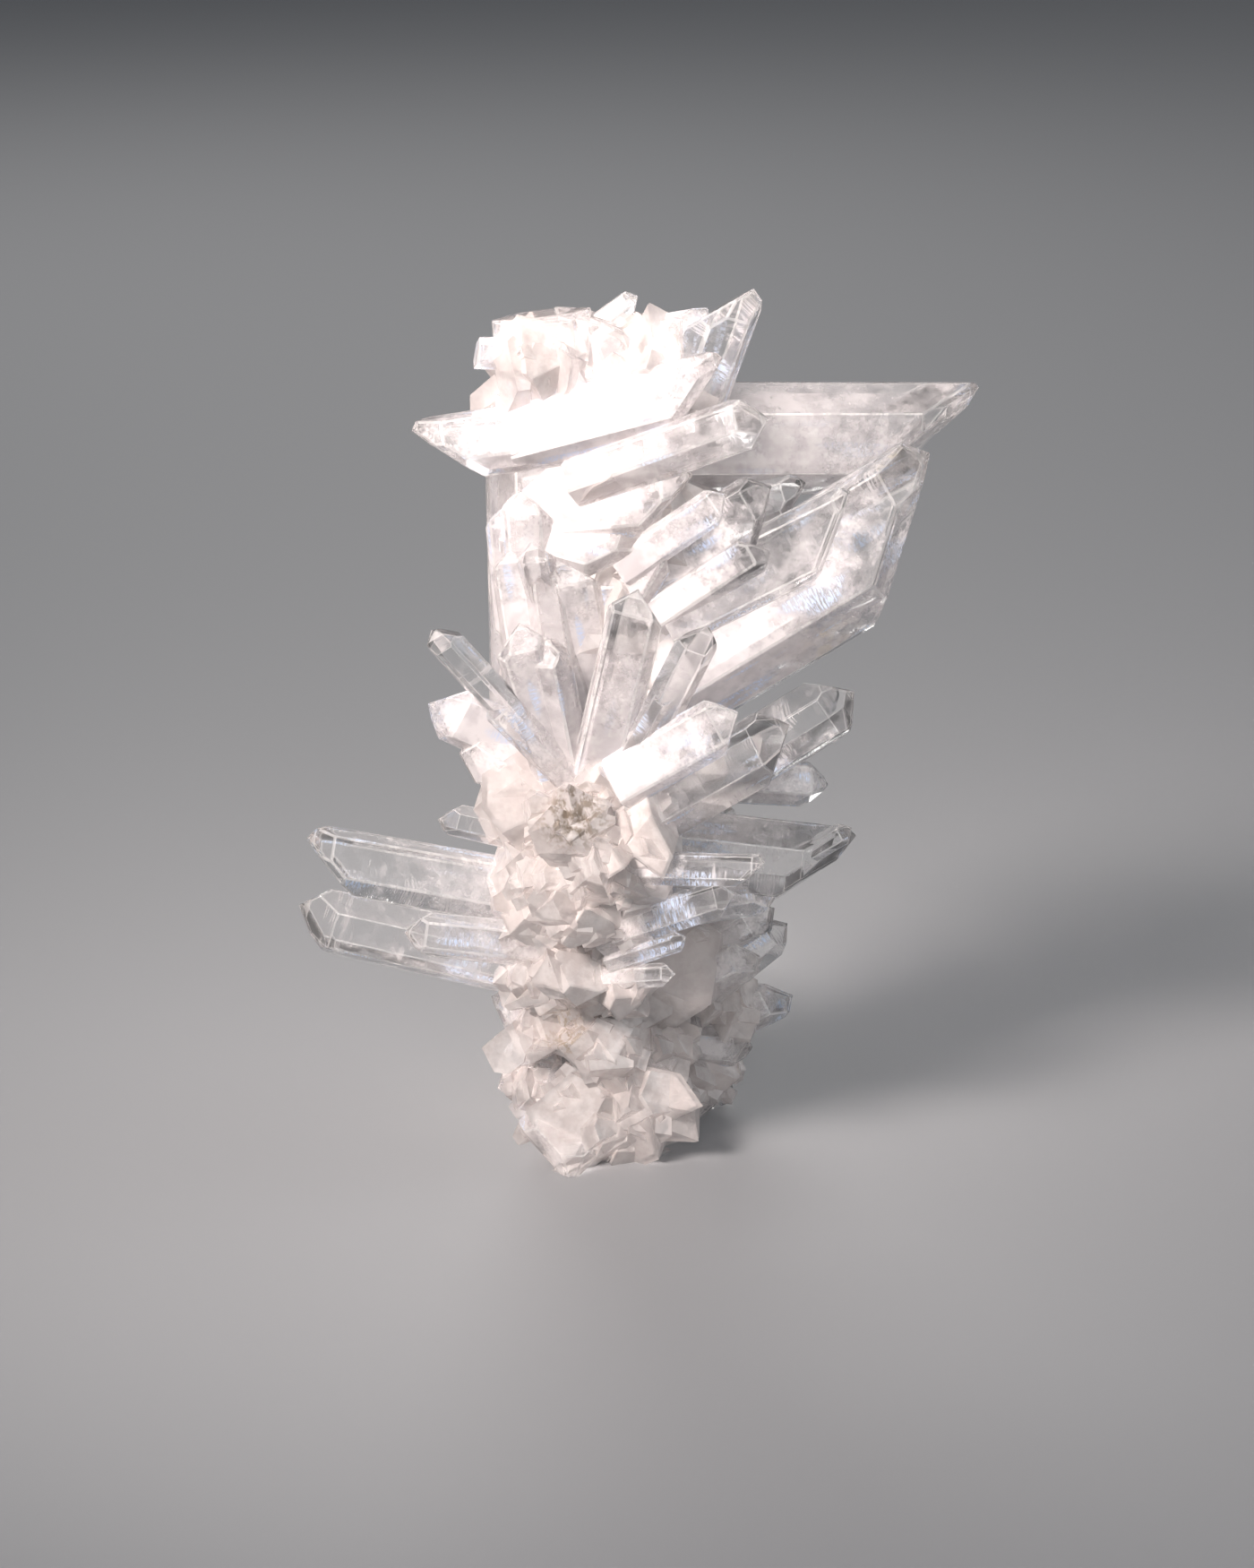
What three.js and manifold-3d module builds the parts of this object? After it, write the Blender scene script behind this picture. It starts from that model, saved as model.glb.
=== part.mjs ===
// Quartz cluster: clear six-sided crystals grown together on a milky, rough body.
// Millimetres, +Z up. The origin is under the middle of the cluster, on the table.
// The whole cluster is one grown piece, so it is one closed solid.
import * as THREE from 'three';
import { mergeVertices } from 'three/addons/utils/BufferGeometryUtils.js';
import Module from 'manifold-3d';

const wasm = await Module();
wasm.setup();

// Overall sizes
const BODY_STATIONS = [
  // height up the body, middle [x, y], half width, half depth
  { height: 3, middle: [1, 1], halfWidth: 6.5, halfDepth: 10.5 },
  { height: 14, middle: [0.5, 1], halfWidth: 10.5, halfDepth: 12 },
  { height: 27, middle: [-1.5, 1], halfWidth: 11.5, halfDepth: 11 },
  { height: 42, middle: [-3.5, 1], halfWidth: 12, halfDepth: 11 },
  { height: 58, middle: [-4.5, 2], halfWidth: 11, halfDepth: 10 },
  { height: 74, middle: [-4, 2], halfWidth: 11, halfDepth: 9 },
  { height: 90, middle: [-2, 2], halfWidth: 12, halfDepth: 8 },
];

// Quartz: the pointed faces stand 51.8 degrees from the crystal's length
const POINT_FACE_ANGLE = THREE.MathUtils.degToRad(51.8);
const CRYSTAL_SIDES = 6;
const SIDE_STEP = (2 * Math.PI) / CRYSTAL_SIDES;

// The cluster is laid out as it is seen from the front, from a little above the table.
// A place is [right, up, back]: right and up as they look from there, back as real depth.
const VIEW_RISE = THREE.MathUtils.degToRad(20);
const VIEW_DISTANCE = 486;
const VIEW_CENTRE_UP = 44.3;
const VIEW_CENTRE_HEIGHT = 42.2;
const TOWARDS_VIEW = new THREE.Vector3(0, -Math.cos(VIEW_RISE), Math.sin(VIEW_RISE));

function seen([right, up, back]) {
  const rise = Math.sin(VIEW_RISE);
  const run = Math.cos(VIEW_RISE);
  const above = up - VIEW_CENTRE_UP;
  const height = (above * (1 + (back * run) / VIEW_DISTANCE) - back * rise)
    / (run + (above * rise) / VIEW_DISTANCE);
  const nearer = height * rise - back * run;
  return new THREE.Vector3(right * (1 - nearer / VIEW_DISTANCE), back, VIEW_CENTRE_HEIGHT + height);
}

// A repeatable chain of chances between 0 and 1
function chances(seed) {
  let state = seed * 7919 + 17;
  const next = () => {
    state = (state * 48271) % 2147483647;
    return state / 2147483647;
  };
  next();
  next();
  next();
  return next;
}

function solidOf(geometry) {
  geometry.deleteAttribute('normal');
  geometry.deleteAttribute('uv');
  const merged = mergeVertices(geometry, 1e-6);
  return new wasm.Manifold(new wasm.Mesh({
    numProp: 3,
    vertProperties: new Float32Array(merged.attributes.position.array),
    triVerts: new Uint32Array(merged.index.array),
  }));
}

// Keep what lies behind the plane through a point with this outward direction
function cutBy(solid, outward, distance) {
  return solid.trimByPlane([-outward.x, -outward.y, -outward.z], -distance);
}

// The six-sided outline of a crystal, one unit wide as seen from the front
function crystalOutline(flat, roll, chance) {
  const sides = [];
  for (let k = 0; k < CRYSTAL_SIDES; k += 1) {
    const angle = THREE.MathUtils.degToRad(roll) + k * SIDE_STEP;
    const regular = Math.hypot(Math.cos(angle) * flat, Math.sin(angle));
    sides.push({ angle, reach: regular * (0.86 + 0.28 * chance()) });
  }
  const corners = sides.map((one, k) => {
    const two = sides[(k + 1) % CRYSTAL_SIDES];
    const turn = Math.sin(two.angle - one.angle);
    return new THREE.Vector2(
      (one.reach * Math.cos(two.angle) - two.reach * Math.cos(one.angle)) / -turn,
      (two.reach * Math.sin(one.angle) - one.reach * Math.sin(two.angle)) / -turn,
    );
  });
  const box = new THREE.Box2().setFromPoints(corners);
  const middle = box.getCenter(new THREE.Vector2());
  const size = box.getSize(new THREE.Vector2());
  return {
    angles: sides.map((side) => side.angle),
    corners: corners.map((corner) => corner.sub(middle).divideScalar(size.x)),
    thickness: size.y / size.x,
  };
}

// One crystal. width is its greatest width as seen, flat its thickness against that,
// roll turns it about its length, lean moves the point off the middle, step sets every
// second point face back, taper narrows it towards the point, stub is a broken end.
function crystal({ foot, tip, width, flat = 0.9, roll = 10, lean = [0, 0], step = 0.18,
  taper = 0.05, stub = 0, seed }) {
  const chance = chances(seed);
  const outline = crystalOutline(flat, roll, chance);
  const length = tip.distanceTo(foot);
  const along = tip.clone().sub(foot).normalize();
  const front = TOWARDS_VIEW.clone().addScaledVector(along, -TOWARDS_VIEW.dot(along)).normalize();
  const side = front.clone().cross(along);
  const place = (u, v, h) => foot.clone().addScaledVector(side, u).addScaledVector(front, v)
    .addScaledVector(along, h);

  const corners = THREE.ShapeUtils.isClockWise(outline.corners)
    ? outline.corners.slice().reverse() : outline.corners;
  const shape = new THREE.Shape(corners.map((corner) => corner.clone().multiplyScalar(width)));
  const overrun = length + 0.3 * width;
  const prism = new THREE.ExtrudeGeometry(shape, { depth: overrun, bevelEnabled: false });
  const position = prism.attributes.position;
  for (let i = 0; i < position.count; i += 1) {
    const h = position.getZ(i);
    const narrowed = 1 - (taper * h) / overrun;
    const point = place(position.getX(i) * narrowed, position.getY(i) * narrowed, h);
    position.setXYZ(i, point.x, point.y, point.z);
  }
  let solid = solidOf(prism);

  const endChance = chances(seed + 500);
  if (stub) {
    const broken = along.clone()
      .addScaledVector(side, 0.25 * (endChance() - 0.5))
      .addScaledVector(front, 0.25 * (endChance() - 0.5))
      .normalize();
    return cutBy(solid, broken, broken.dot(tip));
  }
  const point = tip.clone()
    .addScaledVector(side, (lean[0] * width) / 2)
    .addScaledVector(front, (lean[1] * width * outline.thickness) / 2);
  outline.angles.forEach((angle, k) => {
    const face = side.clone().multiplyScalar(Math.sin(angle)).addScaledVector(front, Math.cos(angle))
      .multiplyScalar(Math.sin(POINT_FACE_ANGLE))
      .addScaledVector(along, Math.cos(POINT_FACE_ANGLE));
    const setBack = k % 2 ? step * width * (0.5 + endChance()) : 0.02 * width * endChance();
    solid = cutBy(solid, face, face.dot(point) + setBack);
  });
  return solid;
}

// One rough lump: a block broken to flat faces that all lie near an egg shape
function lump({ centre, radii, faces = 12, rough = 0.3, seed }) {
  const chance = chances(seed + 900);
  const block = new THREE.BoxGeometry(3.2 * radii[0], 3.2 * radii[1], 3.2 * radii[2]);
  block.translate(centre.x, centre.y, centre.z);
  let solid = solidOf(block);
  for (let k = 0; k < faces; k += 1) {
    const h = 1 - (2 * (k + 0.5)) / faces;
    const ring = Math.sqrt(1 - h * h);
    const turn = 2.39996 * k + 1.3 * chance();
    const face = new THREE.Vector3(
      (ring * Math.cos(turn)) / radii[0],
      (ring * Math.sin(turn)) / radii[1],
      h / radii[2],
    );
    const reach = (1 - rough * chance()) / face.length();
    face.normalize();
    solid = cutBy(solid, face, face.dot(centre) + reach);
  }
  return solid;
}

// Large crystals of the top, as they lie from the front
const topCrystals = [
  { foot: [3, 82.8, 4], tip: [39.1, 82.9, 8], width: 12.4, flat: 0.8, roll: -12, lean: [0.92, 0.1],
    step: 0.1, taper: 0.02 },
  { foot: [2.4, 56, -2], tip: [36.4, 76.6, -5], width: 15.8, flat: 0.62, roll: 8, lean: [0.66, 0],
    step: 0.1, taper: 0.02 },
  { foot: [4, 63.2, -7], tip: [26.2, 74.3, -9], width: 8.2, flat: 0.4, roll: 0, lean: [0.7, 0],
    step: 0.1, taper: 0.02 },
  { foot: [3.5, 71.8, 0], tip: [20.2, 77, 0], width: 6, flat: 0.8, roll: 6, lean: [0.3, 0],
    step: 0.1 },
  { foot: [-6, 77.8, -7], tip: [15.7, 85.5, -13], width: 6.2, roll: 12, lean: [-0.15, 0], step: 0.2,
    taper: 0.08 },
  { foot: [-5, 84, -3], tip: [-23.6, 81.3, -5], width: 7.8, roll: -15, lean: [-0.62, 0], step: 0.15,
    taper: 0.06 },
  { foot: [-13, 82.8, -5], tip: [11.2, 89, -8], width: 7.8, flat: 0.5, roll: 0, lean: [0.7, 0],
    step: 0.1, taper: 0.02 },
  { foot: [-5.2, 88.2, -3], tip: [4.7, 90.8, -5], width: 3.6, flat: 0.6, roll: 6, lean: [-0.4, 0] },
  { foot: [6.8, 85.6, -1], tip: [12.2, 100.3, -3], width: 7.2, roll: -18, lean: [-0.55, 0],
    step: 0.15, taper: 0.02 },
  { foot: [-0.4, 88, 1], tip: [7.4, 98.6, 0], width: 6.4, flat: 0.6, roll: 2, lean: [-0.6, 0],
    step: 0.1 },
  { foot: [-1, 86.8, -2], tip: [7.2, 95.2, -3], width: 5.6, flat: 0.6, roll: 4, lean: [0.5, 0] },
  { foot: [-4.5, 94.6, 1], tip: [1.2, 98.8, 1], width: 2.6, roll: 15 },
  { foot: [-8.6, 83.8, 0], tip: [-9.6, 96.8, 1], width: 10.8, roll: -5, stub: 1, taper: 0 },
  { foot: [-6, 88.8, 0], tip: [-4.6, 96.6, 0], width: 7, roll: 20, stub: 1, taper: 0 },
  { foot: [-10, 92.2, -2], tip: [-16.8, 92.4, -3], width: 3.6, roll: 12, stub: 1 },
  { foot: [-6, 87.2, -3], tip: [-10.2, 95, -3], width: 6.2, flat: 0.6, roll: 4, lean: [0.3, 0] },
  { foot: [-0.6, 88.8, -2], tip: [-3.2, 96.6, -2], width: 5.2, flat: 0.6, roll: -6, lean: [0.3, 0] },
  { foot: [-11, 75.8, -4], tip: [7.3, 77.2, -10], width: 10, flat: 0.5, roll: 0, lean: [0.3, 0],
    step: 0.1 },
  { foot: [-12.8, 74, -4], tip: [2.2, 69.6, -9], width: 9.4, flat: 0.5, roll: 4, lean: [0.3, 0],
    step: 0.06 },
  { foot: [0.4, 66.2, -4], tip: [16.8, 76.1, -8], width: 8.4, flat: 0.5, roll: 2, lean: [0.35, 0],
    step: 0.12 },
  { foot: [-0.8, 68.2, -8], tip: [11.2, 76.3, -11], width: 4.2, flat: 0.55, roll: -4, lean: [0.2, 0] },
  { foot: [3, 62.8, -7], tip: [15.6, 71, -10], width: 4.8, flat: 0.55, roll: 6, lean: [-0.3, 0] },
  { foot: [-1, 62.8, -6], tip: [4.2, 71.8, -9], width: 5, flat: 0.55, roll: 4, lean: [0.2, 0] },
  { foot: [-7.2, 51.8, 0], tip: [-7.8, 87.8, 0], width: 16, flat: 0.8, roll: 4, stub: 1, taper: 0 },
  { foot: [-1, 55.8, 2], tip: [-2, 91.8, 2], width: 14, roll: -14, stub: 1, taper: 0 },
  { foot: [-10.8, 57.6, -7], tip: [-13, 71.6, -8], width: 5.4, flat: 0.6, roll: 4, step: 0.3,
    lean: [-0.4, 0] },
  { foot: [-12.5, 61.8, -4], tip: [-13.9, 75.8, -5], width: 4.4, roll: 8, step: 0.3, lean: [-0.3, 0] },
  { foot: [-7.8, 57.6, -8], tip: [-9.4, 69.6, -9], width: 5.6, flat: 0.6, roll: -4, step: 0.2,
    lean: [0.2, 0] },
  { foot: [-10, 61.8, -6], tip: [-11.2, 77.3, -8], width: 6.4, flat: 0.6, roll: 8, step: 0.2,
    lean: [0.2, 0] },
];

// Crystals of the middle that point up and to the left
const middleCrystals = [
  { foot: [-4.8, 51.8, -6], tip: [-10.8, 71.2, -10], width: 4.5, flat: 0.6, roll: 8, step: 0.3 },
  { foot: [-3.6, 52.8, -5], tip: [-6.6, 69.6, -9], width: 6.2, flat: 0.6, roll: -4, lean: [0.3, 0] },
  { foot: [-7.8, 45.8, -8], tip: [-12.6, 62.1, -12], width: 5.8, flat: 0.7, roll: 5, lean: [-0.2, 0] },
  { foot: [-6, 45.8, -8], tip: [-9, 60.6, -12], width: 4.6, roll: 24 },
  { foot: [-1.4, 55.8, -5], tip: [-2, 68.4, -7], width: 4, roll: 0, lean: [0.3, 0] },
  { foot: [0, 59.8, -6], tip: [0, 66.2, -8], width: 3, roll: 18 },
  { foot: [-5.4, 44, -9], tip: [-21.6, 61.6, -14], width: 3.9, roll: 25, step: 0.1, lean: [0.15, 0] },
  { foot: [-4.4, 42.8, -8], tip: [-15.5, 53.6, -13], width: 3.4, roll: 5, step: 0.2 },
  { foot: [-11.5, 49, -3], tip: [-22, 53.6, -6], width: 7.2, roll: 12, step: 0.1, lean: [0.1, 0] },
  { foot: [-10, 46.8, -4], tip: [-18.8, 47.2, -7], width: 5.6, roll: 30, step: 0.2, lean: [-0.2, 0] },
  { foot: [-13.4, 39, -3], tip: [-21, 40.7, -5], width: 3.8, roll: 5, lean: [0.2, 0] },
];

// The burst of crystals that opens to the right and towards the viewer
const burstCrystals = [
  { foot: [-3.6, 43.4, -9], tip: [1.6, 65.9, -14], width: 6.4, flat: 0.6, roll: 4, step: 0.25,
    lean: [0.1, 0] },
  { foot: [-1, 42.6, -10], tip: [8.8, 62, -16], width: 4.6, roll: -15, step: 0.1, lean: [-0.2, 0] },
  { foot: [-2, 42.8, -11], tip: [5.2, 55, -15], width: 3.2, roll: 20, step: 0.1 },
  { foot: [-1, 44.6, -12], tip: [12.5, 52.1, -18], width: 6.6, flat: 0.6, roll: 4, step: 0.2,
    lean: [0.1, 0] },
  { foot: [-2.8, 38.2, -9], tip: [18.5, 50.2, -15], width: 8, flat: 0.8, roll: 12, lean: [0.2, 0],
    step: 0.1 },
  { foot: [6.5, 43.2, -2], tip: [25.3, 54.6, -3], width: 7.6, flat: 0.8, roll: -15, step: 0.12 },
  { foot: [10, 45, 2], tip: [22.5, 44.2, 3], width: 5.6, flat: 0.7, step: 0.05 },
  { foot: [-1, 37.8, -3], tip: [25.1, 35, -5], width: 9.2, flat: 0.75, roll: -25, lean: [0.75, 0],
    step: 0.1 },
  { foot: [20.5, 36.8, -6], tip: [25.1, 39.4, -7], width: 2.8, roll: 0 },
  { foot: [-2, 35, -12], tip: [15.4, 34.6, -17], width: 3.8, flat: 0.7, lean: [0.5, 0] },
  { foot: [-3, 27.2, -10], tip: [12, 32.1, -16], width: 4.2, flat: 0.8, roll: 12 },
  { foot: [-2, 24.4, -11], tip: [6.6, 27.2, -14], width: 2.8, roll: -12 },
  { foot: [-2.5, 22.6, -11], tip: [5.4, 23.1, -14], width: 2.8 },
  { foot: [7.5, 20.6, 1], tip: [17.8, 28.7, 2], width: 5, roll: 8 },
  { foot: [6.5, 25, 3], tip: [16.4, 30.4, 2], width: 5.6, roll: -8 },
  { foot: [9, 16.8, 6], tip: [18.1, 21.4, 6], width: 5.6, roll: 0, lean: [-0.3, 0] },
  { foot: [4.5, 30.8, -4], tip: [16.8, 32.6, -5], width: 5.4, roll: 16, lean: [-0.2, 0] },
  { foot: [4.5, 20.3, -1], tip: [14.6, 25.6, -1], width: 5.2, roll: 16, lean: [-0.2, 0] },
];

// Long clear crystals that point left
const leftCrystals = [
  { foot: [-10, 31.8, -3], tip: [-36.1, 36.4, -7], width: 7.6, flat: 0.85, roll: -12,
    lean: [-0.5, 0], step: 0.12 },
  { foot: [-8, 23.4, -4], tip: [-36.7, 29.8, -9], width: 7.5, flat: 0.85, roll: 18,
    lean: [-0.25, 0], step: 0.12 },
  { foot: [-9, 26.2, -9], tip: [-24.8, 27.8, -12], width: 5.2, flat: 0.7, roll: 5 },
];

// Blunt crystals of the foot
const footCrystals = [
  { foot: [-8, 16.8, -5], tip: [-15.4, 20, -6], width: 4.6, roll: -10, lean: [-0.3, 0] },
  { foot: [-7.5, 13.4, -5], tip: [-14.6, 11, -6], width: 4.4, roll: -10, lean: [0.3, 0] },
  { foot: [-8, 15.8, -6], tip: [-13.8, 14.6, -8], width: 4.8, roll: 20 },
  { foot: [4.5, 15.8, 2], tip: [14, 15, 3], width: 5.6, roll: -10 },
  { foot: [6.5, 16.8, 6], tip: [10.6, 7.8, 8], width: 5.2 },
  { foot: [-7.8, 16.8, -3], tip: [-7.6, -0.4, -13], width: 9, flat: 0.5, roll: 8, step: 0.02,
    taper: 0, lean: [0.3, 0] },
  { foot: [-8.4, 16.8, -2], tip: [-9.1, 6.2, -9], width: 4.4, flat: 0.8, roll: 14, lean: [-0.2, 0],
    step: 0.1 },
  { foot: [-0.4, 22.8, 3], tip: [0.8, 3, -1], width: 6, flat: 0.7, stub: 1 },
  { foot: [4, 21.8, 2], tip: [7.5, 6.8, 2], width: 6.8, roll: 25, lean: [0.2, 0] },
];

// Rough milky lumps that carry the crystals
const lumps = [
  { centre: [-6, 24.3, -5], radii: [7, 7, 6] },
  { centre: [4.2, 23.3, 2], radii: [8.6, 9, 8] },
  { centre: [-8.8, 30.8, -4], radii: [6.6, 8, 7.5] },
  { centre: [-1, 32.8, 2], radii: [8.5, 11, 10] },
  { centre: [-4, 38.8, -9], radii: [7.6, 7, 6.8] },
  { centre: [-8.8, 43.6, -3], radii: [7.2, 9, 6.6] },
  { centre: [-1, 48.8, 0], radii: [9, 11, 9] },
  { centre: [-1, 61.8, -1], radii: [8, 9, 8] },
  { centre: [1.2, 71.8, -1], radii: [7, 8, 7] },
  { centre: [0, 79.8, -1], radii: [6, 8, 6] },
  { centre: [1.5, 91, 1], radii: [6.6, 6.5, 6] },
  { centre: [-9.7, 91.3, -1], radii: [5.2, 6, 5.4] },
  { centre: [-6, 40.2, -13], radii: [4.9, 4.4, 4.2], faces: 14, rough: 0.22 },
  { centre: [-3.2, 36.3, -14], radii: [4.2, 3.8, 3.4], rough: 0.4 },
  { centre: [2.2, 39.2, -11], radii: [3.6, 4.6, 5.8], faces: 14, rough: 0.2 },
  { centre: [-2.7, 44.4, -10], radii: [3.4, 4, 3.2] },
  { centre: [-7.2, 33.4, -11], radii: [6, 5, 3.8], rough: 0.4 },
  { centre: [0.2, 33.4, -11], radii: [4.2, 4.4, 3.2], rough: 0.4 },
  { centre: [-10, 29.6, -9], radii: [4, 4.4, 2.8], rough: 0.4 },
  { centre: [-4.5, 29.2, -11], radii: [4.4, 4, 2.8], rough: 0.4 },
  { centre: [0.5, 28.8, -9], radii: [3.8, 4, 2.8], rough: 0.4 },
  { centre: [-6, 22.8, -10], radii: [5.6, 4.6, 4.2] },
  { centre: [-0.8, 22.2, -9], radii: [3.8, 4.4, 3.6] },
  { centre: [-10.8, 23.3, -7], radii: [3.4, 4.4, 3.6] },
  { centre: [9, 23.3, 4], radii: [4.6, 6, 4.6] },
  { centre: [11.5, 19.6, 5], radii: [3.4, 5, 3.2] },
  { centre: [-1, 11.8, -2], radii: [8.4, 9.5, 8.4] },
  { centre: [-2.8, 15.3, -9], radii: [5, 4.6, 3.8] },
  { centre: [-9.4, 16.8, -6], radii: [4, 4.6, 4.2] },
  { centre: [-10.6, 10.8, -6], radii: [3, 4.6, 3] },
  { centre: [0.4, 9.2, -7], radii: [6, 5, 4.6] },
  { centre: [4.8, 15, -2], radii: [3.4, 5, 3.4] },
  { centre: [5.6, 10.6, 3], radii: [4, 6, 4.6] },
  { centre: [9.6, 12.6, 5], radii: [3.4, 5, 4] },
  { centre: [0, 4.2, -6], radii: [3.8, 4.6, 3], rough: 0.4 },
  { centre: [2.8, 5.6, -1], radii: [3.2, 5.5, 2.8], rough: 0.4 },
  { centre: [-6, 3.2, -8], radii: [3.2, 4, 2.6] },
  { centre: [-9.4, 8, -5], radii: [2, 4.4, 2.4] },
  { centre: [-4.2, 7.8, -9], radii: [5, 3.4, 6.2] },
  { centre: [-0.6, 8, -7], radii: [5.4, 4.2, 6] },
  { centre: [3.4, 9.8, -1], radii: [4.2, 4.4, 4.4] },
];

// Crystals behind the cluster, pointing away from the viewer
const backCrystals = [
  { foot: [-1, 19.8, 4], tip: [7, 20.8, 27], width: 7 },
  { foot: [-4, 22.8, 4], tip: [-12, 24.8, 22], width: 5.2, roll: 30 },
  { foot: [-2, 31.8, 5], tip: [-2.5, 37.8, 37], width: 8.8, flat: 0.8, roll: 0, lean: [0.3, 0.2],
    step: 0.1 },
  { foot: [0, 35.8, 5], tip: [11, 41.8, 26], width: 5.6, roll: 20 },
  { foot: [-4, 36.8, 5], tip: [-15, 43.8, 22], width: 4.6, roll: 5 },
  { foot: [-5, 41.8, 4], tip: [-8, 54.8, 30], width: 6.4, roll: 15 },
  { foot: [-1, 45.8, 5], tip: [5, 61.8, 21], width: 5, roll: 35 },
  { foot: [-5, 51.8, 5], tip: [-13, 58.8, 18], width: 4.2 },
  { foot: [-1, 55.8, 5], tip: [2, 65.8, 33], width: 8, flat: 0.75, roll: 0, lean: [-0.3, 0],
    step: 0.1 },
  { foot: [0, 61.8, 5], tip: [12, 69.8, 21], width: 6, roll: 25 },
  { foot: [-5, 63.8, 5], tip: [-12, 78.8, 20], width: 4.6, roll: 12 },
  { foot: [-2, 71.8, 5], tip: [-3, 81.8, 31], width: 7.4, roll: 8, lean: [0.2, 0.1] },
  { foot: [0, 79.8, 4], tip: [9, 90.8, 20], width: 5, roll: 30 },
  { foot: [-5, 81.8, 4], tip: [-12.5, 86.3, 18], width: 4.2, roll: 0 },
  { foot: [-2, 86.8, 3], tip: [-2, 95.3, 19], width: 6, roll: 16 },
  { foot: [0, 13.8, 4], tip: [4, 14.8, 25], width: 7.5, roll: 22 },
  { foot: [-5, 13.8, 4], tip: [-10.5, 18.8, 19], width: 6, roll: 2 },
  { foot: [2, 43.8, 4], tip: [16, 49.8, 18], width: 5, roll: 14 },
  { foot: [-6, 30.8, 4], tip: [-15, 31.8, 17], width: 5, roll: 8 },
  { foot: [3, 29.8, 4], tip: [14.5, 31.8, 21], width: 5.5, roll: 18 },
  { foot: [-1, 33, 8], tip: [4, 35, 33], width: 4.5, roll: 40 },
  { foot: [-1, 57, 8], tip: [-5, 64, 29], width: 4.8, roll: 12 },
  { foot: [-3, 73, 8], tip: [3, 78, 27], width: 4.4, roll: 28 },
  { foot: [0, 26, 5], tip: [-3, 28, 31], width: 5, roll: 6 },
];

// Small crystals that crowd the body all round, each from the middle of the body outwards
const CROWD_COUNT = 30;
const CROWD_LOWEST = 5;
const CROWD_HIGHEST = 89;
const GOLDEN_TURN = 2.39996;

function bodyAt(height) {
  const last = BODY_STATIONS.length - 1;
  const next = Math.min(last, Math.max(1, BODY_STATIONS.findIndex((s) => s.height >= height)));
  const low = BODY_STATIONS[next - 1];
  const high = BODY_STATIONS[next];
  const share = (height - low.height) / (high.height - low.height);
  const mix = (a, b) => a + (b - a) * share;
  return {
    x: mix(low.middle[0], high.middle[0]),
    y: mix(low.middle[1], high.middle[1]),
    halfWidth: mix(low.halfWidth, high.halfWidth),
    halfDepth: mix(low.halfDepth, high.halfDepth),
  };
}

function crowd() {
  const chance = chances(4);
  const found = [];
  for (let k = 0; k < CROWD_COUNT; k += 1) {
    const height = CROWD_LOWEST + ((CROWD_HIGHEST - CROWD_LOWEST) * k) / (CROWD_COUNT - 1);
    const body = bodyAt(height);
    const turn = GOLDEN_TURN * k + 0.6 * chance();
    const reach = 0.9 + 0.14 * chance();
    const rise = height < 20 ? 1 - 5 * chance() : 7 * chance() - 2;
    const behind = Math.max(0, Math.sin(turn));
    const foot = new THREE.Vector3(body.x, body.y, height);
    const tip = new THREE.Vector3(
      body.x + body.halfWidth * reach * Math.cos(turn),
      body.y + body.halfDepth * (reach + 0.35 * behind) * Math.sin(turn),
      height + rise,
    );
    const width = 3 + 3.5 * chance();
    found.push({ foot, tip, width, roll: 60 * chance(), lean: [chance() - 0.5, 0], seed: 200 + k });
  }
  return found;
}

const placed = (list, firstSeed) => list.map((one, k) => (
  { ...one, foot: seen(one.foot), tip: seen(one.tip), seed: firstSeed + k }
));

const solids = [
  ...placed(topCrystals, 1),
  ...placed(middleCrystals, 31),
  ...placed(burstCrystals, 51),
  ...placed(leftCrystals, 81),
  ...placed(footCrystals, 91),
  ...placed(backCrystals, 121),
  ...crowd(),
].map(crystal);
lumps.forEach((one, k) => solids.push(lump({ ...one, centre: seen(one.centre), seed: 1 + k })));

// Joined to one piece, then broken off flat where the cluster stands. Flat faces that were
// cut by their neighbours are put back to as few triangles as they need.
const SMALLEST_DETAIL = 0.03;
const down = new THREE.Vector3(0, 0, -1);
const grown = cutBy(wasm.Manifold.union(solids), down, 0).simplify(SMALLEST_DETAIL);

// Quartz fills the pockets closed off between the crystals, so only the outer skin counts
const whole = grown.decompose().reduce((best, one) => (one.volume() > best.volume() ? one : best));

// The origin goes under the middle of the cluster
const { min, max } = whole.boundingBox();
const cluster = whole.translate([-(min[0] + max[0]) / 2, -(min[1] + max[1]) / 2, 0]);

const mesh = cluster.getMesh();
const geometry = new THREE.BufferGeometry();
geometry.setAttribute('position', new THREE.BufferAttribute(new Float32Array(mesh.vertProperties), 3));
geometry.setIndex(new THREE.BufferAttribute(new Uint32Array(mesh.triVerts), 1));

const quartz = new THREE.MeshStandardMaterial({ color: 0xf0e6e0, roughness: 0.2, metalness: 0 });
const quartzCluster = new THREE.Mesh(geometry, quartz);
quartzCluster.name = 'quartz_cluster';

const part = new THREE.Group();
part.add(quartzCluster);

export default part;
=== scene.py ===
"""Finish of a quartz cluster: clear six-sided crystals on a milky, broken body.

The shapes repeat the solid's own rule: every crystal is the space behind its side
faces and its point faces. Lengths in the lists are millimetres, and the meshes metres.
"""

from __future__ import annotations

import logging
import math
from collections.abc import Callable
from dataclasses import dataclass, field, replace
from enum import Enum
from functools import reduce
from itertools import combinations

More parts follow.
